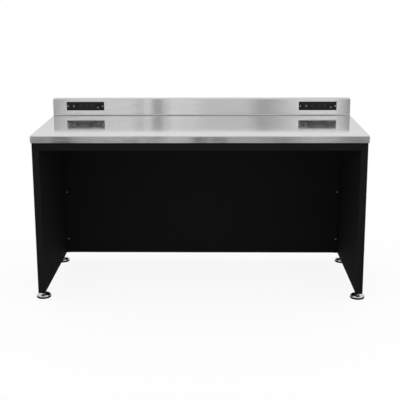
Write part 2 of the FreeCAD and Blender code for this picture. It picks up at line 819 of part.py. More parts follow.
def rocker_switch(side, centre):
    """A snap-in frame, and a rocker with a shallow valley that rocks on two trunnions."""
    x = centre - dim.switch_offset
    flange_front = face_plane - dim.switch_flange
    pivot = flange_front + dim.rocker_pivot_depth
    name = f"{side}_switch"
    inner_width = dim.switch_width - dim.switch_lip * 2
    inner_height = dim.switch_height - dim.switch_lip * 2
    flange = box(f"{name}_flange", dim.switch_width, dim.switch_flange, dim.switch_height,
                 x - dim.switch_width / 2, flange_front, module_level - dim.switch_height / 2)
    barrel = box(f"{name}_barrel", inner_width, dim.switch_depth, inner_height,
                 x - inner_width / 2, face_plane, module_level - inner_height / 2)
    room = dim.rocker_radius + dim.rocker_gap
    room_width = dim.rocker_width + dim.rocker_gap * 2
    mouth = box(f"{name}_mouth", room_width, dim.rocker_pivot_depth + dim.overcut, room * 2,
                x - room_width / 2, flange_front - dim.overcut, module_level - room)
    hollow = rod(f"{name}_hollow", room, room_width, x - room_width / 2, pivot, module_level, along="x")
    seat_length = dim.rocker_width + (dim.trunnion_length + dim.rocker_gap) * 2
    seat = rod(f"{name}_seat", dim.trunnion_radius + dim.running_clearance, seat_length,
               x - seat_length / 2, pivot, module_level, along="x")
    keep(cut(f"{side}_switch_frame", joined(f"{name}_frame_block", flange, barrel), [mouth, hollow, seat]))

    key = body_at(f"{side}_rocker_key", -dim.rocker_width / 2, nil, nil)
    reach = dim.rocker_radius + dim.overcut
    valley = [(dim.rocker_back, -reach), (-dim.rocker_crest, -reach), (-dim.rocker_valley, nil),
              (-dim.rocker_crest, reach), (dim.rocker_back, reach)]
    pad(key, outline(key, "key_section", "YZ_Plane", [valley]), dim.rocker_width)
    drum = rod(f"{side}_rocker_drum", dim.rocker_radius, dim.rocker_width,
               -dim.rocker_width / 2, nil, nil, along="x")
    trimmed = doc.addObject("Part::Common", f"{side}_rocker_trimmed")
    trimmed.Base = key
    trimmed.Tool = drum
    pin_length = dim.rocker_width + dim.trunnion_length * 2
    pin = rod(f"{side}_rocker_pin", dim.trunnion_radius, pin_length, -pin_length / 2, nil, nil, along="x")
    rocker = joined(f"{side}_switch_rocker", trimmed, pin)
    turn(rocker, (1, 0, 0), -dim.rocker_tilt.amount)
    keep(place(rocker, x, pivot, module_level))


def circuit_breaker(side, centre):
    """A thermal breaker with a collar on the bezel, and the button that resets it."""
    x = centre + dim.breaker_offset
    level = module_level - dim.breaker_drop
    name = f"{side}_breaker"
    collar_front = face_plane - dim.collar_proud
    body_front = face_plane + dim.barrel_length
    button_front = collar_front - dim.button_proud
    shell_block = joined(
        f"{name}_block",
        rod(f"{name}_collar", dim.collar_radius, dim.collar_proud, x, collar_front, level, along="y"),
        rod(f"{name}_barrel", dim.barrel_radius, dim.barrel_length, x, face_plane, level, along="y"),
        box(f"{name}_case", dim.breaker_width, dim.breaker_depth, dim.breaker_height,
            x - dim.breaker_width / 2, body_front, level - dim.breaker_height / 2),
    )
    bore_depth = dim.button_length - dim.button_proud + dim.button_travel + dim.button_gap
    bore = rod(f"{name}_bore", dim.button_radius + dim.button_gap, bore_depth + dim.overcut,
               x, collar_front - dim.overcut, level, along="y")
    keep(cut(f"{side}_breaker", shell_block, [bore]))
    keep(rod(f"{side}_reset_button", dim.button_radius, dim.button_length, x, button_front, level, along="y"))


def power_module(side, centre):
    power_bezel(side, centre)
    power_back_box(side, centre)
    outlets(side, centre)
    rocker_switch(side, centre)
    circuit_breaker(side, centre)


worktop_pan()
splash_hood()
splash_cove()
splash_rear_cover()
cord_grommets()
cross_channels()
both_sides(leg_skin, "leg_skin")
both_sides(leg_inner_skin, "leg_inner_skin")
both_sides(foot_channel, "foot_channel")
both_sides(top_channel, "top_channel")
rails()
rail_cleats()
back_panel()
both_sides(panel_angle, "panel_angle")
feet()
power_module("left", -module_x)
power_module("right", module_x)
doc.recompute()

failed = [thing.Label for thing in doc.Objects if {"Invalid", "Error"} & set(thing.State)]
if failed:
    raise RuntimeError(f"not recomputed: {failed}")
for node in nodes:
    if node.Shape.isNull() or not node.Shape.isValid() or not node.Shape.Solids:
        raise RuntimeError(f"{node.Label} has no valid solid")

os.makedirs("parts", exist_ok=True)
for node in nodes:
    node.Shape.exportStep(f"parts/{node.Label}.step")
    print(node.Label, len(node.Shape.Solids), round(node.Shape.Volume))
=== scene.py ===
# %% [markdown]
# # A stainless steel work table
# The table has a folded stainless worktop with a boxed splash, two power modules in the splash, a black
# powder-coated base and four levelling feet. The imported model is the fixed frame: it gives every piece its
# place. This lesson keeps the solids whose shape is right, gives all of them a finish, and models the small
# things that the solids leave out, such as screws, threads and rounded edges.

import json
import math

import bmesh
import bpy
from mathutils import Matrix, Vector


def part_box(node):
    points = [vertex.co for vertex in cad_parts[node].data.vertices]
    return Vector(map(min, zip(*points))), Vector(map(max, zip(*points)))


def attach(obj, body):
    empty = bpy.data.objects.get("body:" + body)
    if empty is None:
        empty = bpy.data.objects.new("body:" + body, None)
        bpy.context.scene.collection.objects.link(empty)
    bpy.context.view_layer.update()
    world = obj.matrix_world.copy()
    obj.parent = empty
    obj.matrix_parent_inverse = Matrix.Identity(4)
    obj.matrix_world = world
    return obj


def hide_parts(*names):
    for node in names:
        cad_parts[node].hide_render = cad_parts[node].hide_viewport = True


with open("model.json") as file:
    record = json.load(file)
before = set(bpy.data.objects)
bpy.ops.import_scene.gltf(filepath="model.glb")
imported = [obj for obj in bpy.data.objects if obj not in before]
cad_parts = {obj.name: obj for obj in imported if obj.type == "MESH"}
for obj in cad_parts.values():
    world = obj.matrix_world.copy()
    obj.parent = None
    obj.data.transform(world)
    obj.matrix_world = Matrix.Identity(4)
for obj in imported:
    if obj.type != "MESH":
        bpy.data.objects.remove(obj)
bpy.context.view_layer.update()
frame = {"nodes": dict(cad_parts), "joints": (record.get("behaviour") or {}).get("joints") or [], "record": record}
print("solids:", len(frame["nodes"]))

# %% [markdown]
# ## Helpers for finishes
# A paint shop names a colour as it looks on a screen, and a renderer works with amounts of light. One
# function turns the first into the second. Another adds a shader node with its settings and links, so that
# each finish below reads as a short list of what it is made of. A socket goes by its name, or by its number
# from the top where names repeat. In a Map Range node 0 is the value, 1 and 2 are the range it comes from,
# and 3 and 4 the range it goes to. In a Mix node 0 is the share, 2 and 3 are the two numbers, and 6 and 7
# the two colours.

# %% Helpers for finishes
MM = 0.001
NOISE_LOW, NOISE_HIGH = 0.3, 0.7   # nearly all of a noise lies between these levels


def linear(hex_colour):
    """A screen colour such as #808080 as the amounts of light that a shader takes."""
    parts = [int(hex_colour[start:start + 2], 16) / 255 for start in (1, 3, 5)]
    return tuple(p / 12.92 if p <= 0.04045 else ((p + 0.055) / 1.055) ** 2.4 for p in parts) + (1.0,)


def add(tree, kind, values=None, links=None, **settings):
    """Adds a node: settings are its own options, values its sockets' constants, links what feeds them."""
    made = tree.nodes.new(kind)
    for name, value in settings.items():
        setattr(made, name, value)
    for socket, value in (values or {}).items():
        made.inputs[socket].default_value = value
    for socket, source in (links or {}).items():
        tree.links.new(source, made.inputs[socket])
    return made


def new_finish(name):
    """An empty material, and its node tree."""
    finish = bpy.data.materials.new(name)
    finish.use_nodes = True
    finish.node_tree.nodes.clear()
    return finish, finish.node_tree


finishes = {}
print("mid grey on the screen is", round(linear("#808080")[0], 3), "of the light of white")

# %% [markdown]
# ## The strokes of a grinding belt
# The worktop and the splash are sheet that was ground with a belt along the table's length, which leaves
# fine parallel strokes. Scratches could be drawn one by one, but there are far too many. A noise does it:
# squeezed across the belt and drawn out along it, its blobs turn into strokes. On the end faces the belt
# ran front to back, so a second noise, drawn out that way, takes over where the surface faces sideways.

# %% Pattern: belt strokes
STROKE_LENGTH = 90 * MM
STROKE_WIDTH = 0.4 * MM   # real strokes are about 0.2 mm; drawn coarser so that they show in a close picture
END_FACE = 0.7            # a surface that faces along the table by more than this is an end face


def belt_strokes(tree, place, facing):
    """A noise drawn out along the belt: along the table, and front to back on the end faces."""
    sideways = add(tree, "ShaderNodeSeparateXYZ", links={0: facing}).outputs["X"]
    sideways = add(tree, "ShaderNodeMath", links={0: sideways}, operation="ABSOLUTE").outputs[0]
    on_the_end = add(tree, "ShaderNodeMath", {1: END_FACE}, {0: sideways},
                     operation="GREATER_THAN").outputs[0]
    strokes = []
    for scale in ((1 / STROKE_LENGTH, 1 / STROKE_WIDTH, 1 / STROKE_WIDTH),
                  (1 / STROKE_WIDTH, 1 / STROKE_LENGTH, 1 / STROKE_WIDTH)):
        drawn_out = add(tree, "ShaderNodeMapping", {"Scale": scale}, {"Vector": place}).outputs[0]
        strokes.append(add(tree, "ShaderNodeTexNoise", {"Scale": 1.0, "Detail": 3.0, "Roughness": 0.65},
                           {"Vector": drawn_out}).outputs[0])
    return add(tree, "ShaderNodeMix", links={0: on_the_end, 2: strokes[0], 3: strokes[1]}).outputs[0]


print("strokes:", round(STROKE_LENGTH / MM), "mm long and", round(STROKE_WIDTH / MM, 2), "mm wide")

# %% [markdown]
# ## Brushed stainless steel
# Between the strokes the metal is nearly a mirror, and only a minority of strokes is deep enough to scatter
# light. One even roughness would blur every reflection alike. Here roughness follows the strokes instead,
# so a reflection keeps its crisp sides under a thin haze. The gloss is directed too: it spreads across the
# strokes and stays sharp along them, which makes the upright bands that brushed metal shows. The tangent
# for that is worked out from the way the surface faces and the way the belt ran.

# %% Finish: brushed stainless steel
STROKE_DEPTH = 0.05 * MM
HAZY_FROM, HAZY_FULL = 0.55, 0.67   # only strokes above these levels of the noise are hazy
SMUDGE_SIZE = 140 * MM
SMUDGE_FROM, SMUDGE_FULL = 0.35, 0.7
SMUDGE_SMOOTHER, SMUDGE_ROUGHER = -0.005, 0.012
ALONG_THE_BELT = (1.0, 0.001, 0.0)  # the trace of Y keeps the tangent from vanishing on the end faces


def brushed_steel(name, light, dark, smooth, hazy, bump):
    """Ground sheet: nearly a mirror, with a minority of hazy strokes along the belt."""
    finish, tree = new_finish(name)
    surface = add(tree, "ShaderNodeTexCoord").outputs
    place, facing = surface["Object"], surface["Normal"]
    stroke = belt_strokes(tree, place, facing)
    rough = add(tree, "ShaderNodeMapRange", {1: HAZY_FROM, 2: HAZY_FULL, 3: smooth, 4: hazy},
                {0: stroke}).outputs[0]
    cloud = add(tree, "ShaderNodeTexNoise", {"Scale": 1 / SMUDGE_SIZE, "Detail": 2.0},
                {"Vector": place}).outputs[0]
    smudge = add(tree, "ShaderNodeMapRange",
                 {1: SMUDGE_FROM, 2: SMUDGE_FULL, 3: SMUDGE_SMOOTHER, 4: SMUDGE_ROUGHER},
                 {0: cloud}).outputs[0]
    rough = add(tree, "ShaderNodeMath", links={0: rough, 1: smudge}, operation="ADD").outputs[0]
    tone = add(tree, "ShaderNodeMapRange", {1: NOISE_LOW, 2: NOISE_HIGH, 3: 0.0, 4: 1.0},
               {0: stroke}).outputs[0]
    colour = add(tree, "ShaderNodeMix", {6: linear(light), 7: linear(dark)}, {0: tone},
                 data_type="RGBA").outputs[2]
    relief = add(tree, "ShaderNodeBump", {"Strength": bump, "Distance": STROKE_DEPTH},
                 {"Height": stroke}).outputs[0]
    across = add(tree, "ShaderNodeVectorMath", {1: ALONG_THE_BELT}, {0: facing},
                 operation="CROSS_PRODUCT").outputs[0]
    metal = add(tree, "ShaderNodeBsdfPrincipled", {"Metallic": 1.0, "Anisotropic": 1.0},
                {"Base Color": colour, "Roughness": rough, "Normal": relief, "Tangent": across})
    add(tree, "ShaderNodeOutputMaterial", links={"Surface": metal.outputs[0]})
    return finish


# Ground sheet gives the eye upright bands with crisp sides under a faint grain that runs along the table.
finishes["brushed_stainless"] = brushed_steel("stainless_steel_belt_ground", light="#d9d9d9", dark="#cfcfcf",
                                              smooth=0.045, hazy=0.38, bump=0.02)
# Sheet as the mill rolled it is greyer and hazier: the eye sees where light comes from, but no images.
finishes["stainless_cover"] = brushed_steel("stainless_steel_mill_rolled", light="#c8c8c8", dark="#bcbcbc",
                                            smooth=0.24, hazy=0.48, bump=0.04)
print("made", [f.name for f in finishes.values()])

# %% [markdown]
# ## The ground weld
# The splash was welded to the worktop and the weld ground to a small cove. In the very corner a fine
# dark line of painted shade is laid, where the cove meets the worktop. It could be a piece of its own, but
# the cove is already a solid, so its colour simply follows the height above the worktop.

# %% Finish: ground weld
# Painted shade in the corner: fully dark up to the first height above the worktop, plain metal from the second.
CORNER_SHADE_TO, UNSHADED_FROM = 1.6 * MM, 3.4 * MM
WELD_SMOOTH, WELD_ROUGH = 0.25, 0.45


def weld_with_painted_shade(name, painted_shade, bright, worktop):
    """A weld that was ground: bright metal with a dark line of painted shade in its corner."""
    finish, tree = new_finish(name)
    place = add(tree, "ShaderNodeTexCoord").outputs["Object"]
    height = add(tree, "ShaderNodeSeparateXYZ", links={0: place}).outputs["Z"]
    grit = add(tree, "ShaderNodeTexNoise", {"Scale": 1 / STROKE_WIDTH, "Detail": 2.0},
               {"Vector": place}).outputs[0]
    # The colour darkens towards the worktop: painted shade in the corner.
    reach = add(tree, "ShaderNodeMapRange", {1: worktop + CORNER_SHADE_TO, 2: worktop + UNSHADED_FROM, 3: 0.0, 4: 1.0},
                {0: height}).outputs[0]
    colour = add(tree, "ShaderNodeMix", {6: linear(painted_shade), 7: linear(bright)}, {0: reach},
                 data_type="RGBA").outputs[2]
    rough = add(tree, "ShaderNodeMapRange", {1: NOISE_LOW, 2: NOISE_HIGH, 3: WELD_SMOOTH, 4: WELD_ROUGH},
                {0: grit}).outputs[0]
    metal = add(tree, "ShaderNodeBsdfPrincipled", {"Metallic": 1.0},
                {"Base Color": colour, "Roughness": rough})
    add(tree, "ShaderNodeOutputMaterial", links={"Surface": metal.outputs[0]})
    return finish


# A ground weld gives the eye a thin grey line of painted shade in its corner, between two bright sheets.
seam_with_painted_shade = weld_with_painted_shade("stainless_steel_weld_painted_corner_shade", painted_shade="#a2a2a2", bright="#d2d2d2",
                          worktop=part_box("splash_cove")[0].z)
print("made", seam_with_painted_shade.name)

# %% [markdown]
# ## Black powder coat
# The base is folded sheet that was sprayed with dry powder and baked. The melted powder leaves a fine
# orange peel, which a low noise bump gives: modelling it would take millions of faces. The coat is satin,
# nearly matt, so it mirrors almost nothing and its highlights are wide and weak. A second, much larger
# noise makes the gloss drift a little, as thick and thin coats do.

# %% Finish: black powder coat
PEEL_SIZE = 2.2 * MM
PEEL_HEIGHT, PEEL_STRENGTH = 0.1 * MM, 0.12
COAT_DRIFT = 180 * MM
COAT_SMOOTH, COAT_ROUGH = 0.70, 0.80
COAT_SHINE = 0.02   # far below a gloss paint's 0.5, because the coat is nearly matt


def powder_coat(name, light, dark):
    """Baked powder on steel: near black and nearly matt, with a fine orange peel."""
    finish, tree = new_finish(name)
    place = add(tree, "ShaderNodeTexCoord").outputs["Object"]
    peel = add(tree, "ShaderNodeTexNoise", {"Scale": 1 / PEEL_SIZE, "Detail": 1.5, "Roughness": 0.4},
               {"Vector": place}).outputs[0]
    drift = add(tree, "ShaderNodeTexNoise", {"Scale": 1 / COAT_DRIFT, "Detail": 2.0},
                {"Vector": place}).outputs[0]
    colour = add(tree, "ShaderNodeMix", {6: linear(light), 7: linear(dark)}, {0: peel},
                 data_type="RGBA").outputs[2]
    rough = add(tree, "ShaderNodeMapRange", {1: NOISE_LOW, 2: NOISE_HIGH, 3: COAT_SMOOTH, 4: COAT_ROUGH},
                {0: drift}).outputs[0]
    relief = add(tree, "ShaderNodeBump", {"Strength": PEEL_STRENGTH, "Distance": PEEL_HEIGHT},
                 {"Height": peel}).outputs[0]
    paint = add(tree, "ShaderNodeBsdfPrincipled", {"Specular IOR Level": COAT_SHINE},
                {"Base Color": colour, "Roughness": rough, "Normal": relief})
    add(tree, "ShaderNodeOutputMaterial", links={"Surface": paint.outputs[0]})
    return finish


# Baked powder gives the eye an even, soft black in which only the way a sheet faces makes a difference.
finishes["black_powder_coat"] = powder_coat("black_powder_coat_baked", light="#222223", dark="#1d1d1e")
print("made", finishes["black_powder_coat"].name)

# %% [markdown]
# ## Galvanised sheet
# The channels under the top and the boxes behind the sockets are hot-dipped sheet. Zinc freezes into flat
# crystals about a centimetre wide, and each mirrors a little differently. A noise has no edges like that,
# but a cell pattern does, and it gives each crystal its own grey and its own roughness.

# %% Finish: galvanised sheet
SPANGLE = 11 * MM
ZINC_SMOOTH, ZINC_ROUGH = 0.32, 0.55


def galvanised(name, light, dark):
    """Hot-dipped zinc: a patchwork of crystals, each with its own grey."""
    finish, tree = new_finish(name)
    place = add(tree, "ShaderNodeTexCoord").outputs["Object"]
    crystals = add(tree, "ShaderNodeTexVoronoi", {"Scale": 1 / SPANGLE}, {"Vector": place})
    chance = add(tree, "ShaderNodeSeparateColor", links={0: crystals.outputs["Color"]})
    colour = add(tree, "ShaderNodeMix", {6: linear(light), 7: linear(dark)}, {0: chance.outputs[0]},
                 data_type="RGBA").outputs[2]
    rough = add(tree, "ShaderNodeMapRange", {1: 0.0, 2: 1.0, 3: ZINC_SMOOTH, 4: ZINC_ROUGH},
                {0: chance.outputs[1]}).outputs[0]
    metal = add(tree, "ShaderNodeBsdfPrincipled", {"Metallic": 1.0},
                {"Base Color": colour, "Roughness": rough})
    add(tree, "ShaderNodeOutputMaterial", links={"Surface": metal.outputs[0]})
    return finish


# Hot-dipped zinc gives the eye a pale patchwork that glints here and there.
finishes["galvanised_steel"] = galvanised("steel_sheet_galvanised", light="#c2c6c9", dark="#a4a9ad")
print("made", finishes["galvanised_steel"].name)

# %% [markdown]
# ## Plated metal and brass
# Screws, studs and nuts are zinc plated, those in the black panel in a darker zinc, the foot dishes are
# polished and chromed, and the contacts inside the sockets are stamped brass. Each could have its own node
# tree, but all are metals whose colour and gloss drift slightly over the surface, so one function makes
# them from two tints and two roughness values.

# %% Finish: plated metal and brass


def plated(name, light, dark, smooth, rough, patch):
    """A metal skin whose tint and gloss drift over patches of the given size."""
    finish, tree = new_finish(name)
    place = add(tree, "ShaderNodeTexCoord").outputs["Object"]
    drift = add(tree, "ShaderNodeTexNoise", {"Scale": 1 / patch, "Detail": 3.0}, {"Vector": place}).outputs[0]
    even = add(tree, "ShaderNodeMapRange", {1: NOISE_LOW, 2: NOISE_HIGH, 3: 0.0, 4: 1.0},
               {0: drift}).outputs[0]
    colour = add(tree, "ShaderNodeMix", {6: linear(light), 7: linear(dark)}, {0: even},
                 data_type="RGBA").outputs[2]
    gloss = add(tree, "ShaderNodeMapRange", {1: NOISE_LOW, 2: NOISE_HIGH, 3: smooth, 4: rough},
                {0: drift}).outputs[0]
    metal = add(tree, "ShaderNodeBsdfPrincipled", {"Metallic": 1.0},
                {"Base Color": colour, "Roughness": gloss})
    add(tree, "ShaderNodeOutputMaterial", links={"Surface": metal.outputs[0]})
    return finish


# Zinc plate gives the eye a soft silver shine without images.
finishes["zinc_plated_steel"] = plated("steel_zinc_plated", light="#d6d7d8", dark="#c2c3c4",
                                       smooth=0.24, rough=0.36, patch=3 * MM)
# Chrome on polished steel gives strong contrasts: it mirrors the black leg and the pale floor side by side.
finishes["chromed_steel"] = plated("steel_polished_chromed", light="#d9dadb", dark="#cfd0d1",
                                   smooth=0.10, rough=0.20, patch=9 * MM)
# Black zinc is a dull grey that shows on the black panel only as small dots.
screw_finish = plated("steel_black_zinc_plated", light="#9a9b9c", dark="#848586",
                      smooth=0.35, rough=0.5, patch=3 * MM)
# Brass darkened to a dark brown as painted shade, for the shade deep in a slot, keeps the slot dark.
finishes["contact_brass"] = plated("brass_stamped_darkened_as_painted_shade", light="#453b27", dark="#352d1d",
                                   smooth=0.55, rough=0.7, patch=4 * MM)
print("made", [finishes[s].name for s in ("zinc_plated_steel", "chromed_steel", "contact_brass")],
      screw_finish.name)

# %% [markdown]
# ## Mouldings and rubber
# The bezels are moulded with a fine spark-eroded grain, the sockets, switch frames and breakers in a
# slightly paler satin black, partly their own tone and partly painted light from the front, the rocker is
# moulded smooth, and the pads and grommets are rubber. A flat black would look like a hole in the picture.
# These differ in colour, gloss and grain size, so one function takes those, and a small noise bump gives
# the grain.

# %% Finish: mouldings and rubber
GRAIN_HEIGHT = 0.1 * MM
# A real grain is about 0.1 mm wide; the grain sizes below are coarser so that they show in a close picture.


def moulded(name, light, dark, smooth, rough, specular, grain, bump):
    """A moulding with a fine grain from its tool."""
    finish, tree = new_finish(name)
    place = add(tree, "ShaderNodeTexCoord").outputs["Object"]
    speck = add(tree, "ShaderNodeTexNoise", {"Scale": 1 / grain, "Detail": 2.0}, {"Vector": place}).outputs[0]
    colour = add(tree, "ShaderNodeMix", {6: linear(light), 7: linear(dark)}, {0: speck},
                 data_type="RGBA").outputs[2]
    gloss = add(tree, "ShaderNodeMapRange", {1: NOISE_LOW, 2: NOISE_HIGH, 3: smooth, 4: rough},
                {0: speck}).outputs[0]
    relief = add(tree, "ShaderNodeBump", {"Strength": bump, "Distance": GRAIN_HEIGHT},
                 {"Height": speck}).outputs[0]
    plastic = add(tree, "ShaderNodeBsdfPrincipled", {"Specular IOR Level": specular},
                  {"Base Color": colour, "Roughness": gloss, "Normal": relief})
    add(tree, "ShaderNodeOutputMaterial", links={"Surface": plastic.outputs[0]})
    return finish


# Grained polycarbonate gives the eye a quiet black with a dull sheen.
finishes["black_plastic"] = moulded("polycarbonate_black_grained", light="#1c1c1d", dark="#141415",
                                    smooth=0.4, rough=0.55, specular=0.25, grain=0.6 * MM, bump=0.2)
# Smooth nylon shows a small clear highlight on the rocker's crests.
finishes["black_gloss_plastic"] = moulded("nylon_black_smooth", light="#1c1c1d", dark="#161617",
                                          smooth=0.18, rough=0.26, specular=0.5, grain=2 * MM, bump=0.03)
# The grey of the reset button makes it a pale dot in the black bezel.
finishes["grey_plastic"] = moulded("nylon_grey_smooth", light="#949596", dark="#888989",
                                   smooth=0.3, rough=0.4, specular=0.5, grain=2 * MM, bump=0.03)
# Rubber is the dullest of the blacks, and sets off the chrome above it.
finishes["black_rubber"] = moulded("rubber_black_moulded", light="#141414", dark="#0e0e0e",
                                   smooth=0.65, rough=0.85, specular=0.1, grain=0.8 * MM, bump=0.3)
# The lens is milky, so it looks pale and unlit.
lens_finish = moulded("polycarbonate_pale_lens", light="#b2b3b3", dark="#a6a7a7",
                      smooth=0.2, rough=0.3, specular=0.5, grain=1.5 * MM, bump=0.03)
# Satin nylon sets the inserts off from the bezel by a trace of grey: partly the nylon's own tone, partly
# painted light for the light that falls on the modules' faces from the front.
insert_satin_with_painted_light = moulded("nylon_black_satin_partly_painted_light", light="#2a2a2b", dark="#222223",
                        smooth=0.42, rough=0.55, specular=0.3, grain=0.6 * MM, bump=0.15)
MOULDED_SLOTS = ("black_plastic", "black_gloss_plastic", "grey_plastic", "black_rubber")
print("made", [finishes[s].name for s in MOULDED_SLOTS], insert_satin_with_painted_light.name, lens_finish.name)

# %% [markdown]
# ## The solids get their finishes
# The record names a finish for every solid. Each solid keeps its mesh, and only its material slots change,
# so nothing can move. The weld, with its painted corner shade, and the inserts of the modules, partly paler
# through painted light, get a finer choice than the record makes.

# %% Dress the solids
for part in frame["record"]["subparts"]:
    for slot in frame["nodes"][part["node"]].material_slots:
        slot.material = finishes[part["material_slot"]]
frame["nodes"]["splash_cove"].material_slots[0].material = seam_with_painted_shade
# The inserts' paler grey is partly painted light from the front.
for side in ("left", "right"):
    for insert in ("outlets", "switch_frame", "breaker"):
        for slot in frame["nodes"][f"{side}_{insert}"].material_slots:
            slot.material = insert_satin_with_painted_light

# %% [markdown]
# ## From a mesh in the making to a finished piece
# A bmesh is a mesh on the bench. The same last steps could follow every piece by hand, but one function
# forgets none: doubled points are merged, faces are turned outwards, gentle edges are shaded smooth and
# sharp ones kept, and the piece is tied to the body that it moves with.

# %% Helper: finish a piece
SHARP = math.radians(32)
SAME_POINT = 0.002 * MM
made_pieces = []


def piece_from(bench, name, body, slot, finish=None, stands_for=()):
    """Takes a piece off the bench: closes it, shades it, gives it its finish and ties it to its body."""
    bmesh.ops.remove_doubles(bench, verts=bench.verts, dist=SAME_POINT)
    bmesh.ops.recalc_face_normals(bench, faces=bench.faces)
    mesh = bpy.data.meshes.new(name)
    bench.to_mesh(mesh)
    bench.free()
    mesh.shade_smooth()
    mesh.set_sharp_from_angle(angle=SHARP)
    mesh.materials.append(finish or finishes[slot])
    piece = bpy.data.objects.new(name, mesh)
    bpy.context.scene.collection.objects.link(piece)
    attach(piece, body)
    if stands_for:
        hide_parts(*stands_for)
    made_pieces.append(piece)
    return piece


print("pieces so far:", len(made_pieces))

# %% [markdown]
# ## Small parts are made at the origin
# Every small turned or stamped part below is modelled at the origin in millimetres, standing up, where its
# sizes are easy to read. It is then turned to the way it faces, moved to its place and joined to the others
# of its kind. A separate object could be placed for each, but then its place would not be in its mesh,
# where a finish expects it.

# %% Helper: set a part in its place
ALONG_X, ALONG_Y, ALONG_Z = Vector((1, 0, 0)), Vector((0, 1, 0)), Vector((0, 0, 1))


def low(node):
    """A solid's lowest corner in millimetres."""
    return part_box(node)[0] / MM


def high(node):
    """A solid's highest corner in millimetres."""
    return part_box(node)[1] / MM


def middle(node):
    """The middle of a solid's box in millimetres."""
    return (low(node) + high(node)) / 2


def set_in(part, bench, place, facing=ALONG_Z):
    """Turns a part to the way it faces, moves it to its place, in millimetres, and joins it to the bench."""
    turn = ALONG_Z.rotation_difference(facing).to_matrix().to_4x4()
    bmesh.ops.transform(part, matrix=Matrix.Scale(MM, 4) @ Matrix.Translation(place) @ turn, verts=part.verts)
    carrier = bpy.data.meshes.new("carrier")
    part.to_mesh(carrier)
    part.free()
    bench.from_mesh(carrier)
    bpy.data.meshes.remove(carrier)


print("front left foot stands at", tuple(round(c, 2) for c in middle("foot_pad_front_left")))

# %% [markdown]
# ## Three bench tools
# Extruding and rounding come back in nearly every part. Extruding returns a mix of points, edges and faces,
# so the first tool picks the points. The second extrudes a flat part to a body, and the third rounds edges
# over with a bevel of several segments. A bevel modifier could round edges too, but here each ring of edges
# gets its own size.

# %% Helper: bench tools
TOUCHING = 0.001   # millimetres, within which points on the bench count as one


def points_of(result):
    """The points among what an extrusion made."""
    return [item for item in result["geom"] if isinstance(item, bmesh.types.BMVert)]


def extrude_flat(part, way):
    """Makes a body of a flat part by extruding all of it."""
    bmesh.ops.translate(part, verts=points_of(bmesh.ops.extrude_face_region(part, geom=part.faces)), vec=way)


def round_over(part, edges, offset, segments):
    """Rounds edges over by an offset in millimetres."""
    bmesh.ops.bevel(part, geom=edges, offset=offset, offset_type="OFFSET", affect="EDGES", segments=segments,
                    profile=0.5, material=-1, clamp_overlap=True)


print("points closer than", TOUCHING, "mm are merged")

# %% [markdown]
# ## Screws
# Pan-head screws hold the modules, the back panel, the rear cover, the rails and the worktop. A head is a
# low dome with a cross recess for the driver. A cap cut from a sphere would have its points bunched in the
# middle, just where the recess goes, so a square grid is used: it is drawn to a disc and raised to a dome,
# the cross of cells in its middle is pushed in, and its rim is pulled down to what it sits on.

# %% Helper: a pan-head screw
HEAD_CELLS = 9
RECESS_REACH = 2        # cells from the middle to the end of the cross
HALF_CELL = 0.5
RECESS_DEPTH = 0.55     # share of the head's height
RECESS_TAPER = 0.86
CROWN = 0.45            # share of the height that the dome falls to its rim


def pan_head(radius, height):
    """A pan head with a cross recess."""
    part = bmesh.new()
    bmesh.ops.create_grid(part, x_segments=HEAD_CELLS, y_segments=HEAD_CELLS, size=1.0)
    cell = 2 / HEAD_CELLS

    def in_cross(face):
        across, along = sorted(abs(c) / cell for c in face.calc_center_median().xy)
        return across < HALF_CELL and along < RECESS_REACH + HALF_CELL

    cross = [face for face in part.faces if in_cross(face)]
    rim = [edge for edge in part.edges if edge.is_boundary]
    for vert in part.verts:
        x, y = vert.co.x, vert.co.y
        disc = Vector((x * math.sqrt(1 - y * y / 2), y * math.sqrt(1 - x * x / 2)))
        vert.co = (disc.x * radius, disc.y * radius, height * (1 - CROWN * disc.length_squared))
    sunk = points_of(bmesh.ops.extrude_face_region(part, geom=cross))
    bmesh.ops.delete(part, geom=cross, context="FACES")
    bmesh.ops.translate(part, verts=sunk, vec=(0, 0, -RECESS_DEPTH * height))
    bmesh.ops.scale(part, verts=sunk, vec=(RECESS_TAPER, RECESS_TAPER, 1))
    skirt = bmesh.ops.extrude_edge_only(part, edges=rim)
    for vert in points_of(skirt):
        vert.co.z = 0
    open_edges = [g for g in skirt["geom"] if isinstance(g, bmesh.types.BMEdge) and g.is_boundary]
    bmesh.ops.edgeloop_fill(part, edges=open_edges)
    return part


def screws(name, head, facing, seats, finish=None):
    """One piece for the screws of a kind: they sit still, so they ride together on the table."""
    bench = bmesh.new()
    for seat in seats:
        set_in(pan_head(*head), bench, Vector(seat), facing)
    piece = piece_from(bench, name, "table", "zinc_plated_steel", finish)
    print(name, len(seats), "screws,", len(piece.data.polygons), "faces")


sample = pan_head(radius=3.6, height=2.0)
print("a pan head has", len(sample.faces), "faces")
sample.free()

# %% [markdown]
# ## Screws that show from the front
# Each module has an ear at both ends with a screw in it, and the back panel is screwed to an angle on each
# leg. The places could be read off a drawing, but they come from the solids that the screws hold, so that a
# screw always sits on its seat. A head is given by its radius and its height.

# %% Module and panel screws
MODULE_SCREW = (3.6, 2.0)
EAR_SHEET, EAR_SCREW = 2.0, 106.5   # an ear's thickness, and its screw from the module's middle
modules = {side: middle(f"{side}_power_bezel") for side in ("left", "right")}
ear_face = high("left_power_bezel").y - EAR_SHEET
screws("module_screws", MODULE_SCREW, -ALONG_Y,
       [(at.x + end * EAR_SCREW, ear_face, at.z) for at in modules.values() for end in (-1, 1)])

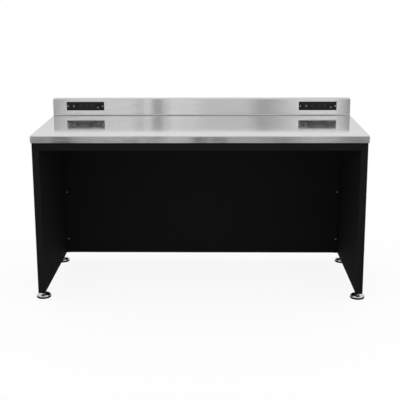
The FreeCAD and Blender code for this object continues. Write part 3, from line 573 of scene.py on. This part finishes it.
PANEL_SCREW = (4.7, 2.6)
PANEL_SCREW_INSET, PANEL_SCREW_LEVELS = 14.0, (135, 445, 755)   # from the leg, and up from the floor
at_left = low("left_panel_angle").x + PANEL_SCREW_INSET
at_right = high("right_panel_angle").x - PANEL_SCREW_INSET
panel_seats = [(x, z) for x in (at_left, at_right) for z in PANEL_SCREW_LEVELS]
screws("panel_screws", PANEL_SCREW, -ALONG_Y, [(x, low("left_panel_angle").y, z) for x, z in panel_seats],
       screw_finish)

# %% [markdown]
# ## Screws at the back and underneath
# The rear cover is screwed to the splash's flanges, the cleats in the rails' ends to the legs, and the
# channels under the worktop to the rails. None shows in a picture from the front, but a part is seen from
# all sides, so they are made in the same way.

# %% Cover, cleat and worktop screws
COVER_SCREW = (4.0, 2.0)
COVER_SCREW_X, COVER_SCREW_RISE, COVER_SCREW_DROP = (-820, -410, 0, 410, 820), 4.5, 6.0
cover_levels = (low("splash_rear_cover").z + COVER_SCREW_RISE, high("splash_rear_cover").z - COVER_SCREW_DROP)
screws("cover_screws", COVER_SCREW, ALONG_Y,
       [(x, high("splash_rear_cover").y, z) for x in COVER_SCREW_X for z in cover_levels])

FRAME_SCREW = (5.5, 4.0)
CLEAT_SHEET, CLEAT_SCREW_INSET, CLEAT_SCREW_RISES = 3.0, 13.5, (8.25, 22.25)
cleat_y = low("rail_cleat_rear_left").y + CLEAT_SCREW_INSET
cleat_levels = [low("rail_cleat_rear_left").z + rise for rise in CLEAT_SCREW_RISES]
for side, way in (("left", 1), ("right", -1)):
    at_leg = low("rail_cleat_front_left").x if way > 0 else high("rail_cleat_front_right").x
    screws(f"{side}_cleat_screws", FRAME_SCREW, way * ALONG_X,
           [(at_leg + way * CLEAT_SHEET, end * cleat_y, z) for end in (-1, 1) for z in cleat_levels])

RAIL_SHEET, CHANNEL_SCREW, RAIL_SCREW_INSET = 1.5, 34.0, 14.1
rail_y = low("rear_rail").y + RAIL_SCREW_INSET
screws("worktop_screws", FRAME_SCREW, -ALONG_Z,
       [(middle(f"cross_channel_{n}").x + CHANNEL_SCREW, end * rail_y, high("front_apron").z - RAIL_SHEET)
        for n in (1, 2, 3, 4) for end in (-1, 1)])

# %% [markdown]
# ## Nuts
# A nut is a hexagon with a round hole. A hole could be cut with a boolean, which leaves long thin faces.
# Here the hexagon's edges are divided so that it has as many points as the hole's circle, the two loops are
# bridged to a flat ring, the ring is extruded to its height, and the outer edges are bevelled as a nut
# blank is chamfered.

# %% Helper: a nut
HEX_SIDES = 6
CUTS_PER_SIDE = 3
CHAMFER_SEGMENTS = 2
CORNER_TO_X = Matrix.Rotation(math.pi / HEX_SIDES, 4, "Z")


def nut(circumradius, hole, height, chamfer):
    """A chamfered hexagon nut, standing on the origin."""
    part = bmesh.new()
    bmesh.ops.create_circle(part, segments=HEX_SIDES, radius=circumradius, matrix=CORNER_TO_X)
    bmesh.ops.subdivide_edges(part, edges=part.edges, cuts=CUTS_PER_SIDE)
    bmesh.ops.create_circle(part, segments=HEX_SIDES * (CUTS_PER_SIDE + 1), radius=hole, matrix=CORNER_TO_X)
    bmesh.ops.bridge_loops(part, edges=part.edges)
    extrude_flat(part, (0, 0, height))
    bmesh.ops.recalc_face_normals(part, faces=part.faces)
    apothem = circumradius * math.cos(math.pi / HEX_SIDES)

    def on_the_rim(edge):
        level = abs(edge.verts[0].co.z - edge.verts[1].co.z) < TOUCHING
        return level and min(v.co.xy.length for v in edge.verts) > apothem - TOUCHING

    round_over(part, [edge for edge in part.edges if on_the_rim(edge)], chamfer, CHAMFER_SEGMENTS)
    return part


PANEL_NUT = {"circumradius": 4.6, "hole": 2.4, "height": 4.0, "chamfer": 0.4}
sample = nut(**PANEL_NUT)
print("a nut has", len(sample.faces), "faces")
sample.free()

# %% [markdown]
# ## Jam nuts and panel nuts
# A jam nut locks each stud against its leg, and a small nut sits behind every panel screw. The jam nuts
# replace plain solids, so their size is read from those. The panel nuts have no solids and sit on the
# panel's back.

# %% Nuts in place
CORNERS = ("front_left", "front_right", "rear_left", "rear_right")
STUD_RADIUS, STUD_ROOM = 6.35, 0.15
JAM_NUT_CHAMFER = 0.9
for corner in CORNERS:
    node = f"jam_nut_{corner}"
    bench = bmesh.new()
    seat = Vector((middle(node).x, middle(node).y, low(node).z))
    size = high(node) - low(node)
    set_in(nut(size.x / 2, STUD_RADIUS + STUD_ROOM, size.z, JAM_NUT_CHAMFER), bench, seat)
    piece = piece_from(bench, f"jam_nut_turned_{corner}", "table", "zinc_plated_steel", stands_for=[node])
print("jam nut:", len(piece.data.polygons), "faces")

PANEL_SHEET = 1.5
panel_back = low("back_panel").y + PANEL_SHEET
bench = bmesh.new()
for x, z in panel_seats:
    set_in(nut(**PANEL_NUT), bench, Vector((x, panel_back, z)), ALONG_Y)
piece_from(bench, "panel_nuts", "table", "zinc_plated_steel", screw_finish)
print("panel nuts:", len(panel_seats))

# %% [markdown]
# ## A lathe
# Foot dishes, pads, studs, reset buttons and grommets are round. A stack of cylinders would show seams
# between them. On a lathe the half outline is enough: it is drawn as a few points and spun once round. A
# third number at a point says how far its ring is rounded over afterwards.

# %% Helper: a lathe
LATHE_STEPS = 64
LATHE_SEGMENTS = 4


def lathe(outline, closed=False):
    """Spins (radius, height, rounding) points round the upright axis."""
    part = bmesh.new()
    points = [part.verts.new((radius, 0, height)) for radius, height, _ in outline]
    pairs = list(zip(points, points[1:] + points[:1] if closed else points[1:]))
    lines = [part.edges.new(pair) for pair in pairs]
    bmesh.ops.spin(part, geom=points + lines, cent=(0, 0, 0), axis=(0, 0, 1), angle=math.tau,
                   steps=LATHE_STEPS, use_merge=True)
    bmesh.ops.remove_doubles(part, verts=part.verts, dist=TOUCHING)
    bmesh.ops.recalc_face_normals(part, faces=part.faces)

    def on_ring(vert, radius, height):
        return abs(vert.co.z - height) < TOUCHING and abs(vert.co.xy.length - radius) < TOUCHING

    for radius, height, rounding in outline:
        if rounding:
            ring = [edge for edge in part.edges if all(on_ring(v, radius, height) for v in edge.verts)]
            round_over(part, ring, rounding, LATHE_SEGMENTS)
    return part


sample = lathe([(0, 0, 0), (5, 0, 1), (5, 3, 0), (0, 3, 0)])
print("a disc with one rounded edge has", len(sample.faces), "faces")
sample.free()

# %% [markdown]
# ## Foot dishes
# Each foot stands on a chromed dome that was pressed from sheet: a low rim, a steep round shoulder, a
# nearly flat top and a hub for the stud. Its top mirrors the black leg above it, and its shoulder the pale
# floor. A cap of a sphere would mirror neither in the right place, so the outline is drawn for the lathe.

# %% Foot dishes in place
RIM_HEIGHT = 2.0
SHOULDER_INSET, SHOULDER_RISE = 2.0, 9.0   # in from the rim's edge, and up from the pad
CROWN_INSET, CROWN_RISE = 8.0, 12.4
HUB_FOOT_RADIUS, HUB_FOOT_RISE, HUB_RADIUS = 14.6, 13.3, 13.8
for corner in CORNERS:
    node = f"foot_base_{corner}"
    rise, edge = high(node).z - low(node).z, (high(node).x - low(node).x) / 2
    dish = lathe([(0, 0, 0), (edge, 0, 0.5), (edge, RIM_HEIGHT, 1.2),
                  (edge - SHOULDER_INSET, SHOULDER_RISE, 2.8), (edge - CROWN_INSET, CROWN_RISE, 3.0),
                  (HUB_FOOT_RADIUS, HUB_FOOT_RISE, 0.4), (HUB_RADIUS, rise, 0.3), (0, rise, 0)])
    bench = bmesh.new()
    set_in(dish, bench, Vector((middle(node).x, middle(node).y, low(node).z)))
    piece = piece_from(bench, f"foot_dish_{corner}", f"foot_{corner}", "chromed_steel", stands_for=[node])
print("foot dish:", len(piece.data.polygons), "faces,", round(2 * edge), "mm across")

# %% [markdown]
# ## Rubber pads
# Under each dome sits a moulded rubber pad, a little wider than the dome, so a black ring shows round the
# foot. Its rim is upright, only softly rounded, and stands up a little round the dome's edge, which is
# clipped into it. A plain disc would leave the chrome lying loose on top, so the lip is part of the
# outline.

# %% Rubber pads in place
GRIP_GAP, GRIP_RISE = 0.1, 2.6             # round the dome's edge, and above where the dome stands
TREAD_INSET, TREAD_RISE = 0.6, 0.8         # the chamfer where the pad meets the floor
for corner in CORNERS:
    node = f"foot_pad_{corner}"
    rise, edge = high(node).z - low(node).z, (high(node).x - low(node).x) / 2
    grip, lip = high(f"foot_base_{corner}").x - middle(node).x + GRIP_GAP, rise + GRIP_RISE
    pad = lathe([(0, 0, 0), (edge - TREAD_INSET, 0, 0.2), (edge, TREAD_RISE, 0.3), (edge, lip, 0.3),
                 (grip, lip, 0.2), (grip, rise, 0), (0, rise, 0)])
    bench = bmesh.new()
    set_in(pad, bench, Vector((middle(node).x, middle(node).y, low(node).z)))
    piece = piece_from(bench, f"foot_rubber_{corner}", f"foot_{corner}", "black_rubber", stands_for=[node])
print("rubber pad:", len(piece.data.polygons), "faces,", round(2 * edge), "mm across")

# %% [markdown]
# ## Screw threads
# A stud screws the foot up and down. Rings round a rod would look like a thread from afar, but they don't
# climb. A real thread is wound here: a V-shaped tooth is spun round the axis many times while every step
# lifts it a little, so that neighbouring turns meet and are merged.

# %% Helper: a screw thread
THREAD_PITCH = 25.4 / 13   # thirteen turns to the inch
TOOTH_DEPTH = 0.85
CREST_FROM, CREST_TO = 0.44, 0.56   # shares of the pitch between which the tooth is flat
STEPS_PER_TURN = 20


def thread(bottom, top):
    """A screw thread from one height to another."""
    part = bmesh.new()
    turns = int((top - bottom) / THREAD_PITCH) - 1
    root = STUD_RADIUS - TOOTH_DEPTH
    tooth = [(root, 0), (STUD_RADIUS, CREST_FROM), (STUD_RADIUS, CREST_TO), (root, 1)]
    points = [part.verts.new((radius, 0, bottom + share * THREAD_PITCH)) for radius, share in tooth]
    lines = [part.edges.new(pair) for pair in zip(points, points[1:])]
    bmesh.ops.spin(part, geom=points + lines, cent=(0, 0, 0), axis=(0, 0, 1),
                   dvec=(0, 0, THREAD_PITCH / STEPS_PER_TURN), angle=math.tau * turns,
                   steps=STEPS_PER_TURN * turns)
    bmesh.ops.remove_doubles(part, verts=part.verts, dist=TOUCHING)
    bmesh.ops.holes_fill(part, edges=part.edges)
    return part


print("one turn of a stud lifts its foot by", round(THREAD_PITCH, 3), "mm")

# %% [markdown]
# ## Threaded studs
# A stud is a plain core in the dome's hub, a hexagon above the hub that a spanner turns, and the thread
# above that. They could be merged to one skin with booleans, but on a real stud they are one bar, and
# bodies that run into each other look the same, so they are only joined.

# %% Studs in place
HEX_GAP, HEX_HEIGHT, HEX_ROUNDING = 0.3, 7.0, 0.6
CORE_RADIUS, CORE_ROUNDING = STUD_RADIUS - TOOTH_DEPTH, 0.5
for corner in CORNERS:
    node = f"foot_stud_{corner}"
    foot = Vector((middle(node).x, middle(node).y, 0))
    hex_bottom = high(f"foot_base_{corner}").z + HEX_GAP
    hex_top = hex_bottom + HEX_HEIGHT
    bench = bmesh.new()
    set_in(thread(hex_top - THREAD_PITCH, high(node).z), bench, foot)
    core_foot = low(node).z
    core = lathe([(0, core_foot, 0), (CORE_RADIUS, core_foot, CORE_ROUNDING), (CORE_RADIUS, hex_top, 0),
                  (0, hex_top, 0)])
    set_in(core, bench, foot)
    hexagon = bmesh.new()
    hex_radius = (high(node).x - low(node).x) / 2
    bmesh.ops.create_circle(hexagon, cap_ends=True, segments=HEX_SIDES, radius=hex_radius, matrix=CORNER_TO_X)
    extrude_flat(hexagon, (0, 0, HEX_HEIGHT))
    round_over(hexagon, hexagon.edges, HEX_ROUNDING, CHAMFER_SEGMENTS)
    set_in(hexagon, bench, foot + ALONG_Z * hex_bottom)
    piece = piece_from(bench, f"foot_stud_threaded_{corner}", f"stud_{corner}", "zinc_plated_steel",
                       stands_for=[node])
print("stud:", len(piece.data.polygons), "faces")

# %% [markdown]
# ## Cord grommets
# A rubber grommet lines each cord hole in the rear cover. A torus would be too plump: the real section has
# two rounded lips with a neck between them. That section is a closed loop, so the lathe spins a ring.

# %% Grommets in place
GROMMET_BORE, GROMMET_NECK, GROMMET_LIP, GROMMET_ROUNDING = 5.0, 8.0, 2.0, 0.8
inner_face, outer_face = low("cord_grommets").y, high("cord_grommets").y
thickness = outer_face - inner_face
flange = high("cord_grommets").x - modules["right"].x
section = [(GROMMET_BORE, 0, GROMMET_ROUNDING), (flange, 0, GROMMET_ROUNDING),
           (flange, GROMMET_LIP, GROMMET_ROUNDING), (GROMMET_NECK, GROMMET_LIP, 0),
           (GROMMET_NECK, thickness - GROMMET_LIP, 0), (flange, thickness - GROMMET_LIP, GROMMET_ROUNDING),
           (flange, thickness, GROMMET_ROUNDING), (GROMMET_BORE, thickness, GROMMET_ROUNDING)]
bench = bmesh.new()
for at in modules.values():
    set_in(lathe(section, closed=True), bench, Vector((at.x, inner_face, middle("cord_grommets").z)), ALONG_Y)
piece = piece_from(bench, "cord_grommet_rings", "table", "black_rubber", stands_for=["cord_grommets"])
print("grommets:", len(piece.data.polygons), "faces")

# %% [markdown]
# ## Reset buttons
# The breaker's button is a grey pin with a domed end. The solid is a plain pin, and its sharp edge would
# catch no light, so the lathe makes it again with a rounded one.

# %% Reset buttons in place
PIN_FOOT, PIN_CROWN, PIN_ROUNDING = 0.3, 0.5, 1.5
for side in modules:
    node = f"{side}_reset_button"
    radius, length = (high(node).x - low(node).x) / 2, high(node).y - low(node).y
    bench = bmesh.new()
    pin = lathe([(0, 0, 0), (radius, 0, PIN_FOOT), (radius, length - PIN_CROWN, PIN_ROUNDING),
                 (0, length, 0)])
    set_in(pin, bench, Vector((middle(node).x, high(node).y, middle(node).z)), -ALONG_Y)
    piece = piece_from(bench, f"{side}_reset_pin", f"{side}_button", "grey_plastic", stands_for=[node])
print("reset pin:", len(piece.data.polygons), "faces,", round(2 * radius, 1), "mm across")

# %% [markdown]
# ## Rocker lenses
# The rocker carries a pale lens that follows its shallow valley. A flat plate would stick out at its ends,
# so a small grid is folded along the valley, thickened by extrusion, rounded at its outer edges and tilted
# with the rocker. It sits on the rocker's own pivot, which the joint gives.

# %% Rocker lenses in place
LENS_WIDTH, LENS_HEIGHT, LENS_PROUD, LENS_SUNK = 4.8, 10.6, 0.35, 0.2
LENS_ROUNDING, LENS_CORNER = 0.25, math.radians(60)
VALLEY_DEPTH, VALLEY_SLOPE, REST_TILT = 2.2, 0.1038, math.radians(-7)
pivots = {joint["name"]: Vector(joint["pos_m"]) / MM for joint in frame["joints"] if "pos_m" in joint}
for side in modules:
    lens_part = bmesh.new()
    bmesh.ops.create_grid(lens_part, x_segments=2, y_segments=4, size=0.5)
    for vert in lens_part.verts:
        x, z = vert.co.x * LENS_WIDTH, vert.co.y * LENS_HEIGHT
        vert.co = (x, LENS_SUNK - VALLEY_DEPTH - VALLEY_SLOPE * abs(z), z)
    extrude_flat(lens_part, (0, -LENS_PROUD - LENS_SUNK, 0))
    bmesh.ops.recalc_face_normals(lens_part, faces=lens_part.faces)
    corners = [edge for edge in lens_part.edges if edge.calc_face_angle(0) > LENS_CORNER]
    round_over(lens_part, corners, LENS_ROUNDING, CHAMFER_SEGMENTS)
    tilt = Matrix.Rotation(REST_TILT, 3, "X")
    bmesh.ops.rotate(lens_part, cent=(0, 0, 0), matrix=tilt, verts=lens_part.verts)
    bench = bmesh.new()
    set_in(lens_part, bench, pivots[f"{side}_rocker_tilt"])
    piece = piece_from(bench, f"{side}_rocker_lens", f"{side}_rocker", "grey_plastic", finish=lens_finish)
print("rocker lens:", len(piece.data.polygons), "faces; pieces made:", len(made_pieces))

# %% [markdown]
# ## The studio
# The table stands in a soft white studio. Lamps could be placed round it, but steel mirrors what surrounds
# it, and a lamp would show as a spot. So the world itself is the studio: its light depends on the direction
# alone, and it stands still when the camera moves. First come the measures of a direction: how far it
# points ahead of the table, and its bearing, which is 0 straight ahead and grows to the right.

# %% World: directions
BAND_REACH = 0.25   # radians to each side that the bands of light cover
world = bpy.data.worlds.new("soft_studio")
bpy.context.scene.world = world
world.use_nodes = True
room = world.node_tree
room.nodes.clear()
way = add(room, "ShaderNodeTexCoord").outputs["Generated"]
axes = add(room, "ShaderNodeSeparateXYZ", links={0: way}).outputs
ahead = add(room, "ShaderNodeMath", {1: -1.0}, {0: axes["Y"]}, operation="MULTIPLY").outputs[0]
bearing = add(room, "ShaderNodeMath", links={0: axes["X"], 1: ahead}, operation="ARCTAN2").outputs[0]
bearing = add(room, "ShaderNodeMapRange", {1: -BAND_REACH, 2: BAND_REACH, 3: 0.0, 4: 1.0},
              {0: bearing}).outputs[0]
print("bands reach", round(math.degrees(BAND_REACH), 1), "degrees to each side")

# %% [markdown]
# ## Bands of light
# What stands in front of brushed steel shows in it as upright bands. Panels and gaps in front of the table
# make them: a row above the floor line, which the splash and the worktop mirror, and a darker row below it,
# which the front edge mirrors. Each row is a list of bearings with their levels of light, given on a
# colour ramp. A ramp holds levels up to 1, so it stores half of each.

# %% World: bands
RAMP_SHARE = 0.5
UPPER_BANDS = ((-0.25, 0.95), (-0.195, 0.72), (-0.168, 1.24), (-0.104, 1.28), (-0.087, 0.98), (-0.083, 1.30),
               (-0.077, 1.26), (-0.072, 0.68), (-0.064, 0.66), (-0.061, 1.10), (-0.056, 1.12), (-0.052, 1.33),
               (-0.028, 1.31), (-0.013, 1.10), (0.038, 1.09), (0.052, 0.75), (0.062, 0.73), (0.083, 1.04),
               (0.100, 1.30), (0.140, 1.40), (0.150, 1.02), (0.158, 0.60), (0.25, 0.80))
LOWER_BANDS = ((-0.25, 0.38), (-0.197, 0.29), (-0.191, 0.15), (-0.174, 0.15), (-0.169, 0.31), (-0.115, 0.42),
               (-0.098, 0.30), (-0.088, 0.48), (-0.081, 0.34), (-0.050, 0.53), (-0.036, 0.47), (-0.027, 0.36),
               (-0.024, 0.17), (-0.011, 0.17), (-0.007, 0.40), (-0.002, 0.19), (0.011, 0.17), (0.015, 0.37),
               (0.050, 0.41), (0.085, 0.30), (0.119, 0.47), (0.159, 0.31), (0.25, 0.24))


def row_of(bands):
    """A row of panels: the level of light at each bearing."""
    ramp = add(room, "ShaderNodeValToRGB", links={0: bearing})
    stops = ramp.color_ramp.elements
    for place, _ in bands[1:-1]:
        stops.new((place + BAND_REACH) / (2 * BAND_REACH))
    for stop, (_, level) in zip(stops, bands):
        stop.color = (level * RAMP_SHARE, level * RAMP_SHARE, level * RAMP_SHARE, 1)
    return add(room, "ShaderNodeMath", {1: 1 / RAMP_SHARE}, {0: ramp.outputs[0]},
               operation="MULTIPLY").outputs[0]


upper_row, lower_row = row_of(UPPER_BANDS), row_of(LOWER_BANDS)
print("bands:", len(UPPER_BANDS), "above and", len(LOWER_BANDS), "below the floor line")

# %% [markdown]
# ## Walls and floor of the studio
# To the sides the walls are pale and uneven, as a room is, and a stretched noise gives that. Behind the
# table the wall is darker at its foot and white above. In front the panels stand between two heights, and
# the light falls off above and below them. An even white would do for paint, but it would leave the steel
# without any shape.

# %% World: walls
SURROUND = (3.0, 3.0, 0.3)
WALL_DARK, WALL_PALE = 0.66, 1.0
GROUND_DARK, GROUND_PALE = 0.25, 0.75
BACK_WINDOW = (-0.75, -0.93)       # how far ahead a direction points where the back wall starts and is full
BACK_RISE, BACK_FOOT = (0.06, 0.22), 0.50
PANEL_TOP, DIM_ABOVE = (0.172, 0.20), 0.52
PANEL_FOOT, DIM_BELOW = (0.135, 0.115), 0.70
SOFT = {"interpolation_type": "SMOOTHSTEP"}
round_about = add(room, "ShaderNodeMapping", {"Scale": SURROUND}, {"Vector": way}).outputs[0]
uneven = add(room, "ShaderNodeTexNoise", {"Scale": 1.0, "Detail": 1.5}, {"Vector": round_about}).outputs[0]
sides = add(room, "ShaderNodeMapRange", {1: NOISE_LOW, 2: NOISE_HIGH, 3: WALL_DARK, 4: WALL_PALE},
            {0: uneven}).outputs[0]
back = add(room, "ShaderNodeMapRange", {1: BACK_RISE[0], 2: BACK_RISE[1], 3: BACK_FOOT, 4: 1.0},
           {0: axes["Z"]}, **SOFT).outputs[0]
behind = add(room, "ShaderNodeMapRange", {1: BACK_WINDOW[0], 2: BACK_WINDOW[1], 3: 0.0, 4: 1.0}, {0: ahead},
             **SOFT).outputs[0]
walls = add(room, "ShaderNodeMix", links={0: behind, 2: sides, 3: back}).outputs[0]
dimmed = add(room, "ShaderNodeMapRange", {1: PANEL_TOP[0], 2: PANEL_TOP[1], 3: 1.0, 4: DIM_ABOVE},
             {0: axes["Z"]}, **SOFT).outputs[0]
lowered = add(room, "ShaderNodeMapRange", {1: PANEL_FOOT[0], 2: PANEL_FOOT[1], 3: 1.0, 4: DIM_BELOW},
              {0: axes["Z"]}, **SOFT).outputs[0]
falloff = add(room, "ShaderNodeMath", links={0: dimmed, 1: lowered}, operation="MULTIPLY").outputs[0]
panels = add(room, "ShaderNodeMath", links={0: upper_row, 1: falloff}, operation="MULTIPLY").outputs[0]
ground = add(room, "ShaderNodeMapRange", {1: NOISE_LOW, 2: NOISE_HIGH, 3: GROUND_DARK, 4: GROUND_PALE},
             {0: uneven}).outputs[0]
print("walls from", WALL_DARK, "to", WALL_PALE, "and panels up to", max(level for _, level in UPPER_BANDS))

# %% [markdown]
# ## The studio put together
# A window in front lets the panels in, and the floor line parts walls from ground. The camera itself sees
# plain white instead. A white backdrop could do that, but it would also light the table, so the world asks
# whether a ray comes from the camera and shows white only there.

# %% World: put together
FRONT_WINDOW = (0.80, 0.95)
FLOOR_LINE = (-0.163, -0.178)
window = add(room, "ShaderNodeMapRange", {1: FRONT_WINDOW[0], 2: FRONT_WINDOW[1], 3: 0.0, 4: 1.0}, {0: ahead},
             **SOFT).outputs[0]
below = add(room, "ShaderNodeMapRange", {1: FLOOR_LINE[0], 2: FLOOR_LINE[1], 3: 0.0, 4: 1.0}, {0: axes["Z"]},
            **SOFT).outputs[0]
walls = add(room, "ShaderNodeMix", links={0: window, 2: walls, 3: panels}).outputs[0]
ground = add(room, "ShaderNodeMix", links={0: window, 2: ground, 3: lower_row}).outputs[0]
studio = add(room, "ShaderNodeMix", links={0: below, 2: walls, 3: ground}).outputs[0]
seen = add(room, "ShaderNodeLightPath").outputs["Is Camera Ray"]
level = add(room, "ShaderNodeMix", {3: 1.0}, {0: seen, 2: studio}).outputs[0]
sky = add(room, "ShaderNodeBackground", {"Color": (1, 1, 1, 1)}, {"Strength": level})
add(room, "ShaderNodeOutputWorld", links={"Surface": sky.outputs[0]})
print("the studio has", len(room.nodes), "nodes")

# %% [markdown]
# ## The floor
# The floor is a disc of pale paper. To everything but the camera it is plain paper, with a little glow of
# its own where metal mirrors it. To the camera it is nearly clear, so that the white studio shows through,
# with a thin layer of grey on top that keeps the table's shadow. A plain white floor would need so much
# light to look white that the table would be too bright. A foot that is screwed out below the floor still
# shows through it.

# %% Floor
FLOOR_REACH = 3.0
PAPER = (0.6, 0.6, 0.6, 1)
PAPER_GLOW = 0.35
SHADE = (0.12, 0.12, 0.12, 1)
CLEAR = (0.90, 0.90, 0.90, 1)
bench = bmesh.new()
bmesh.ops.create_circle(bench, cap_ends=True, segments=LATHE_STEPS, radius=FLOOR_REACH)
floor_mesh = bpy.data.meshes.new("floor")
bench.to_mesh(floor_mesh)
bench.free()
floor = bpy.data.objects.new("floor", floor_mesh)
bpy.context.scene.collection.objects.link(floor)
floor_finish, tree = new_finish("floor_pale_paper")
rays = add(tree, "ShaderNodeLightPath").outputs
mirrored = add(tree, "ShaderNodeMath", links={0: rays["Is Glossy Ray"], 1: rays["Is Transmission Ray"]},
               operation="MAXIMUM").outputs[0]
glows = add(tree, "ShaderNodeMix", {2: 0.0, 3: PAPER_GLOW}, {0: mirrored}).outputs[0]
paper = add(tree, "ShaderNodeBsdfDiffuse", {"Color": PAPER}).outputs[0]
glow = add(tree, "ShaderNodeEmission", {"Color": (1, 1, 1, 1)}, {"Strength": glows}).outputs[0]
mirrored_floor = add(tree, "ShaderNodeAddShader", links={0: paper, 1: glow}).outputs[0]
shade = add(tree, "ShaderNodeBsdfDiffuse", {"Color": SHADE}).outputs[0]
clear = add(tree, "ShaderNodeBsdfTransparent", {"Color": CLEAR}).outputs[0]
seen_floor = add(tree, "ShaderNodeAddShader", links={0: shade, 1: clear}).outputs[0]
both = add(tree, "ShaderNodeMixShader",
           links={0: rays["Is Camera Ray"], 1: mirrored_floor, 2: seen_floor}).outputs[0]
add(tree, "ShaderNodeOutputMaterial", links={"Surface": both})
floor_mesh.materials.append(floor_finish)
print("floor reaches", FLOOR_REACH, "m")

# %% [markdown]
# ## The camera
# The picture was taken from a little right of the middle, about 1.78 m up and 4.5 m in front of the front
# edge. The camera looks down on the worktop. A large lens shift would keep the legs quite upright, as a
# view camera does, but it would push the table out of pictures from other sides, so the shift is small and
# the legs lean in a little.

# %% Camera
CAMERA_PLACE = Vector((0.0840, -4.8476, 1.7750))
YAW, LOOK_DOWN, ROLL = (math.radians(angle) for angle in (-1.036, 12.72, -0.216))
SENSOR_WIDTH, FOCAL_LENGTH = 36.0, 76.236   # millimetres
LENS_SHIFT = -0.08
flat = math.cos(LOOK_DOWN)
forward = Vector((math.sin(YAW) * flat, math.cos(YAW) * flat, -math.sin(LOOK_DOWN)))
right = Vector((math.cos(YAW), -math.sin(YAW), 0))
up = right.cross(forward)
right, up = right * math.cos(ROLL) + up * math.sin(ROLL), up * math.cos(ROLL) - right * math.sin(ROLL)
lens = bpy.data.cameras.new("camera")
lens.sensor_width = SENSOR_WIDTH
lens.lens = FOCAL_LENGTH
lens.shift_y = LENS_SHIFT
camera = bpy.data.objects.new("camera", lens)
camera.matrix_world = Matrix.Translation(CAMERA_PLACE) @ Matrix((right, up, -forward)).transposed().to_4x4()
bpy.context.scene.collection.objects.link(camera)
bpy.context.scene.camera = camera
bpy.context.scene.view_settings.view_transform = "Standard"
print("camera at", tuple(round(c, 3) for c in CAMERA_PLACE))
